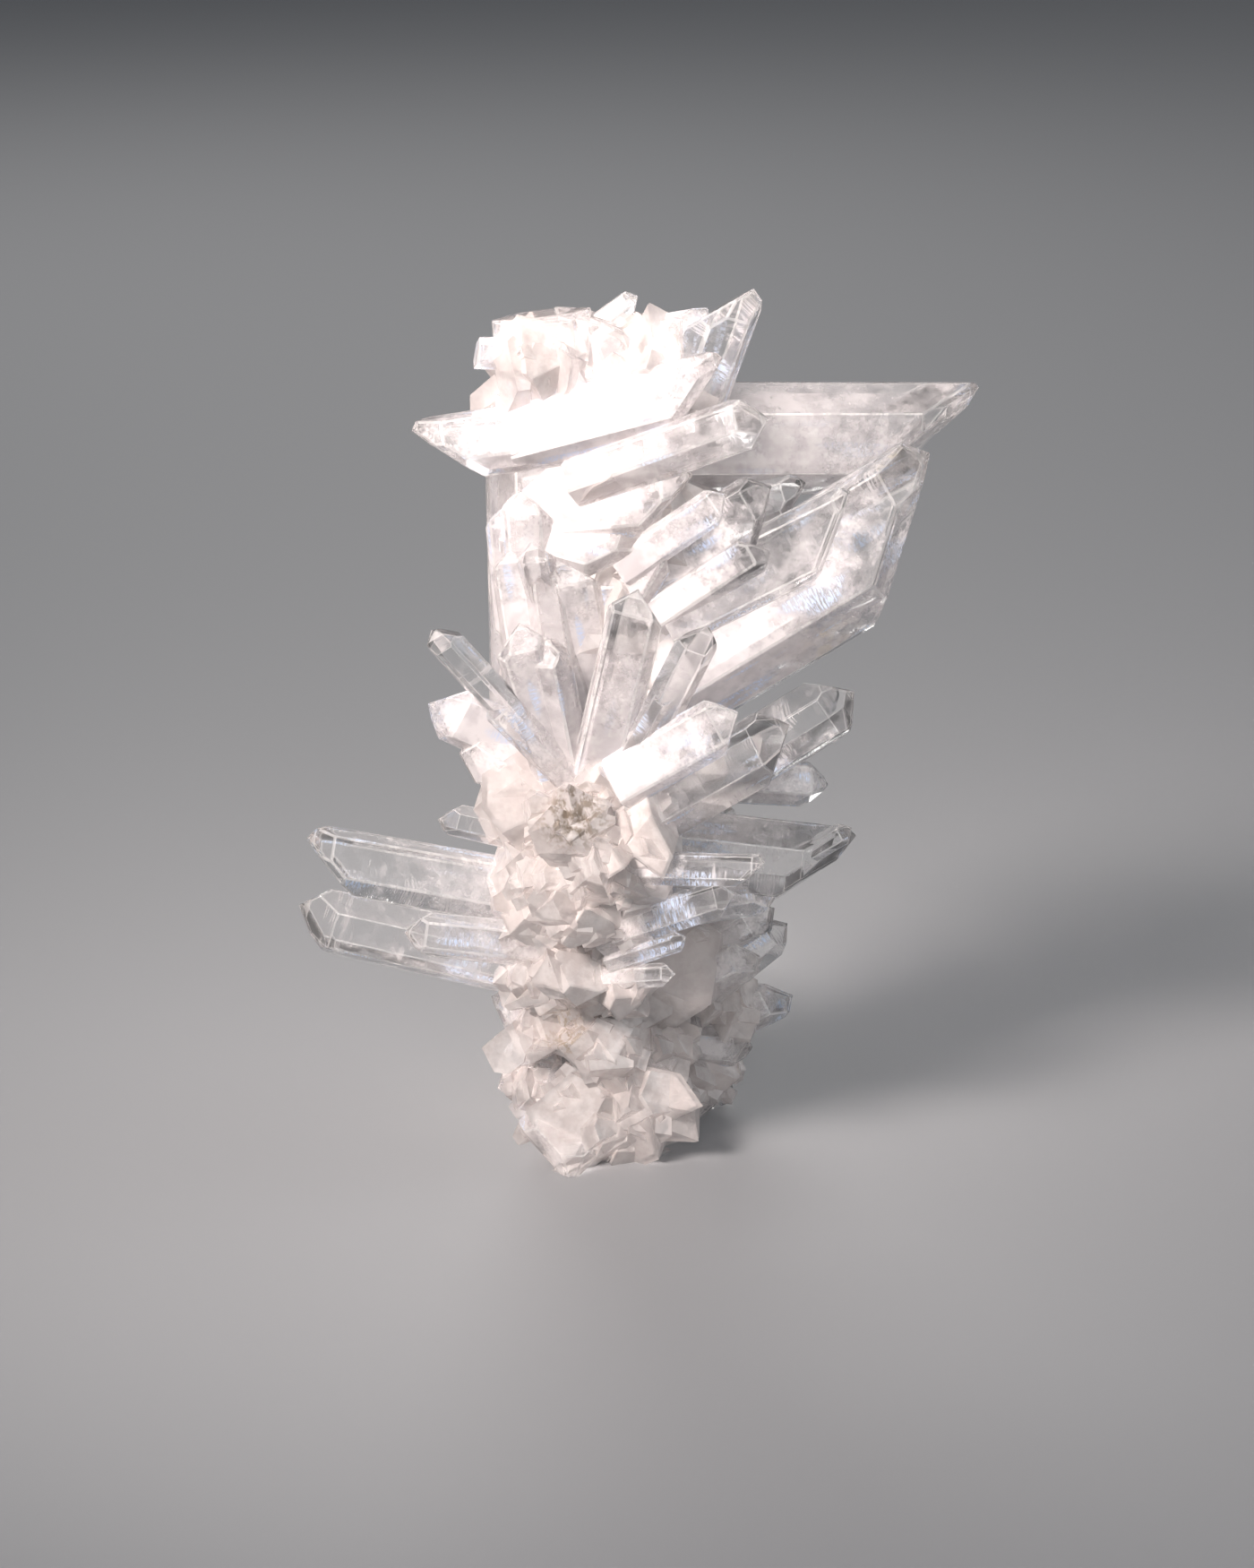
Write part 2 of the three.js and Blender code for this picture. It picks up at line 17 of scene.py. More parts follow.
import bmesh
import bpy
import numpy as np
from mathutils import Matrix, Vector


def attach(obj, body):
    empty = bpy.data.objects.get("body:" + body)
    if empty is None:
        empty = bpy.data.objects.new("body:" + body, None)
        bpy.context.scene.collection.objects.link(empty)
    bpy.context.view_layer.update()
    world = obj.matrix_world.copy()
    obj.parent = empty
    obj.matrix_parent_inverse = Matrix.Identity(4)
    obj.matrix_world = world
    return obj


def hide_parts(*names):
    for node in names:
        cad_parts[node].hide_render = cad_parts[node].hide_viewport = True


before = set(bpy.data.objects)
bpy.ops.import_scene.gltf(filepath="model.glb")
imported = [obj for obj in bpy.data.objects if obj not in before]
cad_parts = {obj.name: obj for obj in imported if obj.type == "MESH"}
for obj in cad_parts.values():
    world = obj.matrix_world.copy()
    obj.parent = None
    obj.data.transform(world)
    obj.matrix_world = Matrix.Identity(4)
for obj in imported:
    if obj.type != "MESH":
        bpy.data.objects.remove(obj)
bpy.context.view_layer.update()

LOG = logging.getLogger("quartz")
MM = 0.001
NODE = "quartz_cluster"
BODY = "root"
POINT_ANGLE = math.radians(51.8)
SIDE_STEP = math.tau / 6
GOLDEN_TURN = 2.39996
SAME_CORNER = 0.03
LEAST_TRIPLE = 1e-5  # three planes with less than this meet nowhere in particular
ON_PLANE = 1e-5

VIEW_RISE = math.radians(20)
VIEW_DISTANCE = 486.0
VIEW_CENTRE_UP = 44.3
VIEW_CENTRE_HEIGHT = 42.2
TOWARDS_VIEW = np.array([0.0, -math.cos(VIEW_RISE), math.sin(VIEW_RISE)])
LENS_MM = 100.0
FILM_MM = 36.0

Place = tuple[float, float, float]


class Habit(Enum):
    """How milky a crystal is. The value is the strength of its milk from 0 to 1."""

    CLEAR = 0.3
    VEILED = 0.75
    MILKY = 1.0


def seen(place: Place) -> np.ndarray:
    """Turn a place as seen from the front into a place in the model.

    The place is right and up as they look, and back as real depth. Its height is where
    the line of sight through right and up reaches that depth.

    Args:
        place: right, up and back in millimetres.

    Returns:
        The point in millimetres, before the cluster is centred.
    """
    right, up, back = place
    rise, run = math.sin(VIEW_RISE), math.cos(VIEW_RISE)
    above = up - VIEW_CENTRE_UP
    height = (above * (1 + back * run / VIEW_DISTANCE) - back * rise) / (run + above * rise / VIEW_DISTANCE)
    nearer = height * rise - back * run
    return np.array([right * (1 - nearer / VIEW_DISTANCE), back, VIEW_CENTRE_HEIGHT + height])


class Chances:
    """A repeatable chain of chances between 0 and 1."""

    def __init__(self, seed: int) -> None:
        """Start the chain.

        Args:
            seed: which chain this is.
        """
        self.state = seed * 7919 + 17
        for _ in range(3):
            self.next()

    def next(self) -> float:
        """Return the next chance."""
        self.state = (self.state * 48271) % 2147483647
        return self.state / 2147483647


def unit(vector: np.ndarray) -> np.ndarray:
    """Return the vector at length one."""
    return vector / np.linalg.norm(vector)


@dataclass(frozen=True)
class Facets:
    """A closed shape with flat faces."""

    corners: np.ndarray
    faces: list[list[int]]


def shape_behind(normals: np.ndarray, reaches: np.ndarray) -> Facets:
    """Find the shape that lies behind every plane.

    A corner is where three planes meet, as long as no other plane cuts it off. Corners
    that all but coincide are one corner, on all their planes. A face is the corners on
    one plane, in the order of their angle about the face's middle.

    Args:
        normals: outward directions, one row a plane.
        reaches: how far each plane lies from the origin, in the length of its direction.

    Returns:
        The corners and faces.
    """
    size = np.linalg.norm(normals, axis=1)
    normals, reaches = normals / size[:, None], reaches / size
    trios = np.array(list(combinations(range(len(normals)), 3)))
    trios = trios[np.abs(np.linalg.det(normals[trios])) > LEAST_TRIPLE]
    points = np.linalg.solve(normals[trios], reaches[trios][..., None])[..., 0]
    kept = (points @ normals.T <= reaches + ON_PLANE).all(axis=1)
    points, trios = points[kept], trios[kept]
    apart = np.linalg.norm(points[:, None] - points[None], axis=2)
    leader = np.argmax(apart < SAME_CORNER, axis=1)
    names, label = np.unique(leader[leader], return_inverse=True)
    corners = points[names]
    touches = np.zeros((len(normals), len(names)), dtype=bool)
    touches[trios.ravel(), np.repeat(label, 3)] = True
    faces = []
    for normal, hits in zip(normals, touches):
        ring = np.flatnonzero(hits)
        if len(ring) < 3:
            continue
        spoke = corners[ring] - corners[ring].mean(axis=0)
        across = unit(np.cross(normal, spoke[0]))
        turn = np.arctan2(spoke @ across, spoke @ np.cross(across, normal))
        faces.append(ring[np.argsort(turn)].tolist())
    return Facets(corners, faces)


@dataclass(frozen=True)
class Crystal:
    """One six-sided quartz crystal.

    width is its greatest width as seen, flat its thickness against that, roll turns it
    about its length, lean moves the point off the middle, step sets every second point
    face back, taper narrows it towards the point, stub is a broken end. cloud sets how far
    up a veiled crystal's heart reaches, and real_places says that foot and tip are places
    in the model, not places as seen.
    """

    foot: Place
    tip: Place
    width: float
    flat: float = 0.9
    roll: float = 10.0
    lean: tuple[float, float] = (0.0, 0.0)
    step: float = 0.18
    taper: float = 0.05
    stub: bool = False
    seed: int = 1
    habit: Habit = Habit.CLEAR
    cloud: float = 0.45
    real_places: bool = False

    def ends(self) -> tuple[np.ndarray, np.ndarray]:
        """Return foot and tip as points in the model."""
        if self.real_places:
            return np.array(self.foot), np.array(self.tip)
        return seen(self.foot), seen(self.tip)

    def directions(self) -> tuple[np.ndarray, np.ndarray, np.ndarray]:
        """Return the directions to the side, to the front and along the crystal."""
        foot, tip = self.ends()
        along = unit(tip - foot)
        front = unit(TOWARDS_VIEW - along * (TOWARDS_VIEW @ along))
        return np.cross(front, along), front, along

    def outline(self) -> tuple[np.ndarray, np.ndarray, float]:
        """Work out the six sides.

        Each side's distance is that of a flattened regular outline, times a chance.

        Returns:
            The sides' angles from the front, their distances from the crystal's middle
            and its thickness, all for a crystal one unit wide.
        """
        chance = Chances(self.seed)
        angles = math.radians(self.roll) + SIDE_STEP * np.arange(6)
        spread = np.array([0.86 + 0.28 * chance.next() for _ in range(6)])
        reach = np.hypot(np.cos(angles) * self.flat, np.sin(angles)) * spread
        following, beyond = np.roll(angles, -1), np.roll(reach, -1)
        turn = np.sin(angles - following)
        across = (reach * np.cos(following) - beyond * np.cos(angles)) / turn
        deep = (beyond * np.sin(angles) - reach * np.sin(following)) / turn
        middle = (across.max() + across.min()) / 2, (deep.max() + deep.min()) / 2
        width = np.ptp(across)
        centred = reach - np.sin(angles) * middle[0] - np.cos(angles) * middle[1]
        return angles, centred / width, np.ptp(deep) / width

    def planes(self, slim: float = 1.0, share: float = 1.0) -> tuple[np.ndarray, np.ndarray]:
        """Work out the planes that bound the crystal.

        Args:
            slim: what part of the full width it has.
            share: what part of the full length it has, when it is cut short.

        Returns:
            Outward directions and reaches.
        """
        side, front, along = self.directions()
        foot, tip = self.ends()
        angles, distances, thickness = self.outline()
        distances = distances * self.width * slim
        overrun = np.linalg.norm(tip - foot) + 0.3 * self.width
        out = np.sin(angles)[:, None] * side + np.cos(angles)[:, None] * front
        walls = out + along * (distances * self.taper / overrun)[:, None]
        rows = [walls, -along[None]]
        reaches = [walls @ foot + distances, [-along @ foot]]
        chance = Chances(self.seed + 500)
        if share < 1:
            rows.append(along[None])
            reaches.append([along @ (foot + (tip - foot) * share)])
        if self.stub:
            broken = along + 0.25 * (chance.next() - 0.5) * side
            broken = unit(broken + 0.25 * (chance.next() - 0.5) * front)
            rows.append(broken[None])
            reaches.append([broken @ tip])
            return np.concatenate(rows), np.concatenate(reaches)
        point = tip + side * self.lean[0] * self.width / 2
        point = point + front * self.lean[1] * self.width * thickness / 2
        faces = out * math.sin(POINT_ANGLE) + along * math.cos(POINT_ANGLE)
        luck = np.array([chance.next() for _ in range(6)])
        second = np.arange(6) % 2 == 1
        back = np.where(second, self.step * self.width * (0.5 + luck), 0.02 * self.width * luck)
        rows.append(faces)
        reaches.append(faces @ point + back * slim - 0.5 * (1 - slim) * self.width)
        return np.concatenate(rows), np.concatenate(reaches)

    def facets(self) -> Facets:
        """Return the whole crystal's shape."""
        return shape_behind(*self.planes())


@dataclass(frozen=True)
class Lump:
    """A rough lump: a block broken to flat faces that all lie near an egg shape.

    faces is how many planes break it, rough how far a chance may pull one in, and
    real_place says that centre is a place in the model, not a place as seen.
    """

    centre: Place
    radii: tuple[float, float, float]
    seed: int = 1
    faces: int = 12
    rough: float = 0.3
    real_place: bool = False

    def middle(self) -> np.ndarray:
        """Return the centre as a point in the model."""
        return np.array(self.centre) if self.real_place else seen(self.centre)

    def planes(self) -> tuple[np.ndarray, np.ndarray]:
        """Work out the planes that bound the lump.

        The faces' directions wind down an egg shape by the golden turn, each pulled in
        by a chance.

        Returns:
            Outward directions and reaches.
        """
        chance = Chances(self.seed + 900)
        centre, radii = self.middle(), np.array(self.radii)
        step = np.arange(self.faces)
        height = 1 - 2 * (step + 0.5) / self.faces
        ring = np.sqrt(1 - height**2)
        luck = np.array([[chance.next(), chance.next()] for _ in step])
        turn = GOLDEN_TURN * step + 1.3 * luck[:, 0]
        out = np.stack([ring * np.cos(turn), ring * np.sin(turn), height], axis=1) / radii
        reach = 1 - self.rough * luck[:, 1]
        walls = np.concatenate([np.eye(3), -np.eye(3)])
        normals = np.concatenate([out, walls])
        reaches = np.concatenate([out @ centre + reach, walls @ centre + 1.6 * np.tile(radii, 2)])
        return normals, reaches

    def facets(self) -> Facets:
        """Return the whole lump's shape."""
        return shape_behind(*self.planes())

    def fragments(self, count: int, depth: float, size: float, first_seed: int) -> list[Lump]:
        """Make the smaller lumps that stand out of this one.

        They wind down the egg shape by the golden turn.

        Args:
            count: how many.
            depth: how far out their centres lie, as a share of the radii.
            size: their mean radius in millimetres.
            first_seed: the first one's seed.

        Returns:
            The smaller lumps.
        """
        chance = Chances(first_seed)
        found = []
        for k in range(count):
            height = 1 - 2 * (k + 0.5) / count
            ring = math.sqrt(1 - height**2)
            turn = GOLDEN_TURN * k + math.tau * chance.next()
            way = np.array([ring * math.cos(turn), ring * math.sin(turn), height])
            scale = size * (0.7 + 0.6 * chance.next())
            radii = tuple(scale * (0.7 + 0.6 * chance.next()) for _ in range(3))
            place = tuple(self.middle() + way * self.radii * depth)
            found.append(Lump(place, radii, first_seed + k, faces=9, rough=0.5, real_place=True))
        return found


# Large crystals of the top, as they lie from the front
TOP = [
    Crystal((3, 82.8, 4), (39.1, 82.9, 8), 12.4, flat=0.8, roll=-12, lean=(0.92, 0.1), step=0.1,
            taper=0.02, habit=Habit.VEILED, cloud=0.7),
    Crystal((2.4, 56, -2), (36.4, 76.6, -5), 15.8, flat=0.62, roll=8, lean=(0.66, 0), step=0.1,
            taper=0.02, habit=Habit.VEILED, cloud=0.5),
    Crystal((4, 63.2, -7), (26.2, 74.3, -9), 8.2, flat=0.4, roll=0, lean=(0.7, 0), step=0.1,
            taper=0.02, cloud=0.35),
    Crystal((3.5, 71.8, 0), (20.2, 77, 0), 6, flat=0.8, roll=6, lean=(0.3, 0), step=0.1,
            habit=Habit.VEILED, cloud=0.6),
    Crystal((-6, 77.8, -7), (15.7, 85.5, -13), 6.2, roll=12, lean=(-0.15, 0), step=0.2,
            taper=0.08, habit=Habit.VEILED, cloud=0.5),
    Crystal((-5, 84, -3), (-23.6, 81.3, -5), 7.8, roll=-15, lean=(-0.62, 0), step=0.15,
            taper=0.06, habit=Habit.VEILED, cloud=0.6),
    Crystal((-13, 82.8, -5), (11.2, 89, -8), 7.8, flat=0.5, roll=0, lean=(0.7, 0), step=0.1,
            taper=0.02, habit=Habit.MILKY),
    Crystal((-5.2, 88.2, -3), (4.7, 90.8, -5), 3.6, flat=0.6, roll=6, lean=(-0.4, 0),
            habit=Habit.VEILED, cloud=0.8),
    Crystal((6.8, 85.6, -1), (12.2, 100.3, -3), 7.2, roll=-18, lean=(-0.55, 0), step=0.15,
            taper=0.02, cloud=0.3),
    Crystal((-0.4, 88, 1), (7.4, 98.6, 0), 6.4, flat=0.6, roll=2, lean=(-0.6, 0), step=0.1,
            habit=Habit.MILKY),
    Crystal((-1, 86.8, -2), (7.2, 95.2, -3), 5.6, flat=0.6, roll=4, lean=(0.5, 0),
            habit=Habit.MILKY),
    Crystal((-4.5, 94.6, 1), (1.2, 98.8, 1), 2.6, roll=15, cloud=0.3),
    Crystal((-8.6, 83.8, 0), (-9.6, 96.8, 1), 10.8, roll=-5, stub=True, taper=0, habit=Habit.MILKY),
    Crystal((-6, 88.8, 0), (-4.6, 96.6, 0), 7, roll=20, stub=True, taper=0, habit=Habit.MILKY),
    Crystal((-10, 92.2, -2), (-16.8, 92.4, -3), 3.6, roll=12, stub=True, habit=Habit.MILKY),
    Crystal((-6, 87.2, -3), (-10.2, 95, -3), 6.2, flat=0.6, roll=4, lean=(0.3, 0),
            habit=Habit.MILKY),
    Crystal((-0.6, 88.8, -2), (-3.2, 96.6, -2), 5.2, flat=0.6, roll=-6, lean=(0.3, 0),
            habit=Habit.MILKY),
    Crystal((-11, 75.8, -4), (7.3, 77.2, -10), 10, flat=0.5, roll=0, lean=(0.3, 0), step=0.1,
            habit=Habit.MILKY),
    Crystal((-12.8, 74, -4), (2.2, 69.6, -9), 9.4, flat=0.5, roll=4, lean=(0.3, 0), step=0.06,
            habit=Habit.MILKY),
    Crystal((0.4, 66.2, -4), (16.8, 76.1, -8), 8.4, flat=0.5, roll=2, lean=(0.35, 0), step=0.12,
            habit=Habit.VEILED, cloud=0.8),
    Crystal((-0.8, 68.2, -8), (11.2, 76.3, -11), 4.2, flat=0.55, roll=-4, lean=(0.2, 0),
            habit=Habit.VEILED, cloud=0.8),
    Crystal((3, 62.8, -7), (15.6, 71, -10), 4.8, flat=0.55, roll=6, lean=(-0.3, 0),
            habit=Habit.VEILED, cloud=0.6),
    Crystal((-1, 62.8, -6), (4.2, 71.8, -9), 5, flat=0.55, roll=4, lean=(0.2, 0),
            habit=Habit.MILKY),
    Crystal((-7.2, 51.8, 0), (-7.8, 87.8, 0), 16, flat=0.8, roll=4, stub=True, taper=0,
            habit=Habit.MILKY),
    Crystal((-1, 55.8, 2), (-2, 91.8, 2), 14, roll=-14, stub=True, taper=0, habit=Habit.MILKY),
    Crystal((-10.8, 57.6, -7), (-13, 71.6, -8), 5.4, flat=0.6, roll=4, step=0.3, lean=(-0.4, 0),
            habit=Habit.MILKY),
    Crystal((-12.5, 61.8, -4), (-13.9, 75.8, -5), 4.4, roll=8, step=0.3, lean=(-0.3, 0),
            habit=Habit.MILKY),
    Crystal((-7.8, 57.6, -8), (-9.4, 69.6, -9), 5.6, flat=0.6, roll=-4, step=0.2, lean=(0.2, 0),
            habit=Habit.MILKY),
    Crystal((-10, 61.8, -6), (-11.2, 77.3, -8), 6.4, flat=0.6, roll=8, step=0.2, lean=(0.2, 0),
            habit=Habit.MILKY),
]

# Crystals of the middle that point up and to the left
MIDDLE = [
    Crystal((-4.8, 51.8, -6), (-10.8, 71.2, -10), 4.5, flat=0.6, roll=8, step=0.3,
            habit=Habit.VEILED, cloud=0.8),
    Crystal((-3.6, 52.8, -5), (-6.6, 69.6, -9), 6.2, flat=0.6, roll=-4, lean=(0.3, 0),
            habit=Habit.MILKY),
    Crystal((-7.8, 45.8, -8), (-12.6, 62.1, -12), 5.8, flat=0.7, roll=5, lean=(-0.2, 0),
            habit=Habit.MILKY),
    Crystal((-6, 45.8, -8), (-9, 60.6, -12), 4.6, roll=24, habit=Habit.MILKY),
    Crystal((-1.4, 55.8, -5), (-2, 68.4, -7), 4, roll=0, lean=(0.3, 0), habit=Habit.MILKY),
    Crystal((0, 59.8, -6), (0, 66.2, -8), 3, roll=18, habit=Habit.VEILED, cloud=0.8),
    Crystal((-5.4, 44, -9), (-21.6, 61.6, -14), 3.9, roll=25, step=0.1, lean=(0.15, 0), cloud=0.3),
    Crystal((-4.4, 42.8, -8), (-15.5, 53.6, -13), 3.4, roll=5, step=0.2, cloud=0.5),
    Crystal((-11.5, 49, -3), (-22, 53.6, -6), 7.2, roll=12, step=0.1, lean=(0.1, 0),
            habit=Habit.MILKY),
    Crystal((-10, 46.8, -4), (-18.8, 47.2, -7), 5.6, roll=30, step=0.2, lean=(-0.2, 0),
            habit=Habit.MILKY),
    Crystal((-13.4, 39, -3), (-21, 40.7, -5), 3.8, roll=5, lean=(0.2, 0), cloud=0.4),
]

# The burst of crystals that opens to the right and towards the viewer
BURST = [
    Crystal((-3.6, 43.4, -9), (1.6, 65.9, -14), 6.4, flat=0.6, roll=4, step=0.25, lean=(0.1, 0),
            habit=Habit.VEILED, cloud=0.9),
    Crystal((-1, 42.6, -10), (8.8, 62, -16), 4.6, roll=-15, step=0.1, lean=(-0.2, 0), cloud=0.35),
    Crystal((-2, 42.8, -11), (5.2, 55, -15), 3.2, roll=20, step=0.1, cloud=0.5),
    Crystal((-1, 44.6, -12), (12.5, 52.1, -18), 6.6, flat=0.6, roll=4, step=0.2, lean=(0.1, 0),
            habit=Habit.VEILED, cloud=0.9),
    Crystal((-2.8, 38.2, -9), (18.5, 50.2, -15), 8, flat=0.8, roll=12, lean=(0.2, 0), step=0.1,
            cloud=0.35),
    Crystal((6.5, 43.2, -2), (25.3, 54.6, -3), 7.6, flat=0.8, roll=-15, step=0.12, cloud=0.3),
    Crystal((10, 45, 2), (22.5, 44.2, 3), 5.6, flat=0.7, step=0.05, habit=Habit.VEILED, cloud=0.7),
    Crystal((-1, 37.8, -3), (25.1, 35, -5), 9.2, flat=0.75, roll=-25, lean=(0.75, 0), step=0.1,
            cloud=0.25),
    Crystal((20.5, 36.8, -6), (25.1, 39.4, -7), 2.8, roll=0, cloud=0.3),
    Crystal((-2, 35, -12), (15.4, 34.6, -17), 3.8, flat=0.7, lean=(0.5, 0), cloud=0.35),
    Crystal((-3, 27.2, -10), (12, 32.1, -16), 4.2, flat=0.8, roll=12, cloud=0.3),
    Crystal((-2, 24.4, -11), (6.6, 27.2, -14), 2.8, roll=-12, cloud=0.3),
    Crystal((-2.5, 22.6, -11), (5.4, 23.1, -14), 2.8, cloud=0.3),
    Crystal((7.5, 20.6, 1), (17.8, 28.7, 2), 5, roll=8, cloud=0.6),
    Crystal((6.5, 25, 3), (16.4, 30.4, 2), 5.6, roll=-8, habit=Habit.VEILED, cloud=0.8),
    Crystal((9, 16.8, 6), (18.1, 21.4, 6), 5.6, roll=0, lean=(-0.3, 0), habit=Habit.VEILED,
            cloud=0.8),
    Crystal((4.5, 30.8, -4), (16.8, 32.6, -5), 5.4, roll=16, lean=(-0.2, 0), habit=Habit.VEILED,
            cloud=0.8),
    Crystal((4.5, 20.3, -1), (14.6, 25.6, -1), 5.2, roll=16, lean=(-0.2, 0), habit=Habit.VEILED,
            cloud=0.9),
]

# Long clear crystals that point left
LEFT = [
    Crystal((-10, 31.8, -3), (-36.1, 36.4, -7), 7.6, flat=0.85, roll=-12, lean=(-0.5, 0),
            step=0.12, cloud=0.3),
    Crystal((-8, 23.4, -4), (-36.7, 29.8, -9), 7.5, flat=0.85, roll=18, lean=(-0.25, 0),
            step=0.12, cloud=0.35),
    Crystal((-9, 26.2, -9), (-24.8, 27.8, -12), 5.2, flat=0.7, roll=5, cloud=0.6),
]

# Blunt crystals of the foot
FOOT = [
    Crystal((-8, 16.8, -5), (-15.4, 20, -6), 4.6, roll=-10, lean=(-0.3, 0), habit=Habit.MILKY),
    Crystal((-7.5, 13.4, -5), (-14.6, 11, -6), 4.4, roll=-10, lean=(0.3, 0), habit=Habit.MILKY),
    Crystal((-8, 15.8, -6), (-13.8, 14.6, -8), 4.8, roll=20, habit=Habit.MILKY),
    Crystal((4.5, 15.8, 2), (14, 15, 3), 5.6, roll=-10, habit=Habit.VEILED, cloud=0.8),
    Crystal((6.5, 16.8, 6), (10.6, 7.8, 8), 5.2, habit=Habit.VEILED, cloud=0.8),
    Crystal((-7.8, 16.8, -3), (-7.6, -0.4, -13), 9, flat=0.5, roll=8, step=0.02, taper=0,
            lean=(0.3, 0), habit=Habit.MILKY),
    Crystal((-8.4, 16.8, -2), (-9.1, 6.2, -9), 4.4, flat=0.8, roll=14, lean=(-0.2, 0), step=0.1,
            habit=Habit.MILKY),
    Crystal((-0.4, 22.8, 3), (0.8, 3, -1), 6, flat=0.7, stub=True, habit=Habit.MILKY),
    Crystal((4, 21.8, 2), (7.5, 6.8, 2), 6.8, roll=25, lean=(0.2, 0), habit=Habit.MILKY),
]

# Crystals behind the cluster, pointing away from the viewer
BACK = [
    Crystal((-1, 19.8, 4), (7, 20.8, 27), 7, habit=Habit.VEILED, cloud=0.6),
    Crystal((-4, 22.8, 4), (-12, 24.8, 22), 5.2, roll=30, habit=Habit.VEILED, cloud=0.6),
    Crystal((-2, 31.8, 5), (-2.5, 37.8, 37), 8.8, flat=0.8, roll=0, lean=(0.3, 0.2), step=0.1,
            cloud=0.4),
    Crystal((0, 35.8, 5), (11, 41.8, 26), 5.6, roll=20),
    Crystal((-4, 36.8, 5), (-15, 43.8, 22), 4.6, roll=5, habit=Habit.VEILED, cloud=0.6),
    Crystal((-5, 41.8, 4), (-8, 54.8, 30), 6.4, roll=15, cloud=0.4),
    Crystal((-1, 45.8, 5), (5, 61.8, 21), 5, roll=35, habit=Habit.VEILED, cloud=0.6),
    Crystal((-5, 51.8, 5), (-13, 58.8, 18), 4.2, habit=Habit.VEILED, cloud=0.6),
    Crystal((-1, 55.8, 5), (2, 65.8, 33), 8, flat=0.75, roll=0, lean=(-0.3, 0), step=0.1,
            cloud=0.4),
    Crystal((0, 61.8, 5), (12, 69.8, 21), 6, roll=25, cloud=0.5),
    Crystal((-5, 63.8, 5), (-12, 78.8, 20), 4.6, roll=12, habit=Habit.VEILED, cloud=0.6),
    Crystal((-2, 71.8, 5), (-3, 81.8, 31), 7.4, roll=8, lean=(0.2, 0.1), cloud=0.4),
    Crystal((0, 79.8, 4), (9, 90.8, 20), 5, roll=30, cloud=0.5),
    Crystal((-5, 81.8, 4), (-12.5, 86.3, 18), 4.2, roll=0, habit=Habit.VEILED, cloud=0.6),
    Crystal((-2, 86.8, 3), (-2, 95.3, 19), 6, roll=16, habit=Habit.VEILED, cloud=0.7),
    Crystal((0, 13.8, 4), (4, 14.8, 25), 7.5, roll=22, habit=Habit.MILKY),
    Crystal((-5, 13.8, 4), (-10.5, 18.8, 19), 6, roll=2, habit=Habit.MILKY),
    Crystal((2, 43.8, 4), (16, 49.8, 18), 5, roll=14, cloud=0.5),
    Crystal((-6, 30.8, 4), (-15, 31.8, 17), 5, roll=8, habit=Habit.VEILED, cloud=0.6),
    Crystal((3, 29.8, 4), (14.5, 31.8, 21), 5.5, roll=18, cloud=0.5),
    Crystal((-1, 33, 8), (4, 35, 33), 4.5, roll=40, cloud=0.4),
    Crystal((-1, 57, 8), (-5, 64, 29), 4.8, roll=12, cloud=0.4),
    Crystal((-3, 73, 8), (3, 78, 27), 4.4, roll=28, habit=Habit.VEILED, cloud=0.6),
    Crystal((0, 26, 5), (-3, 28, 31), 5, roll=6, habit=Habit.VEILED, cloud=0.6),
]

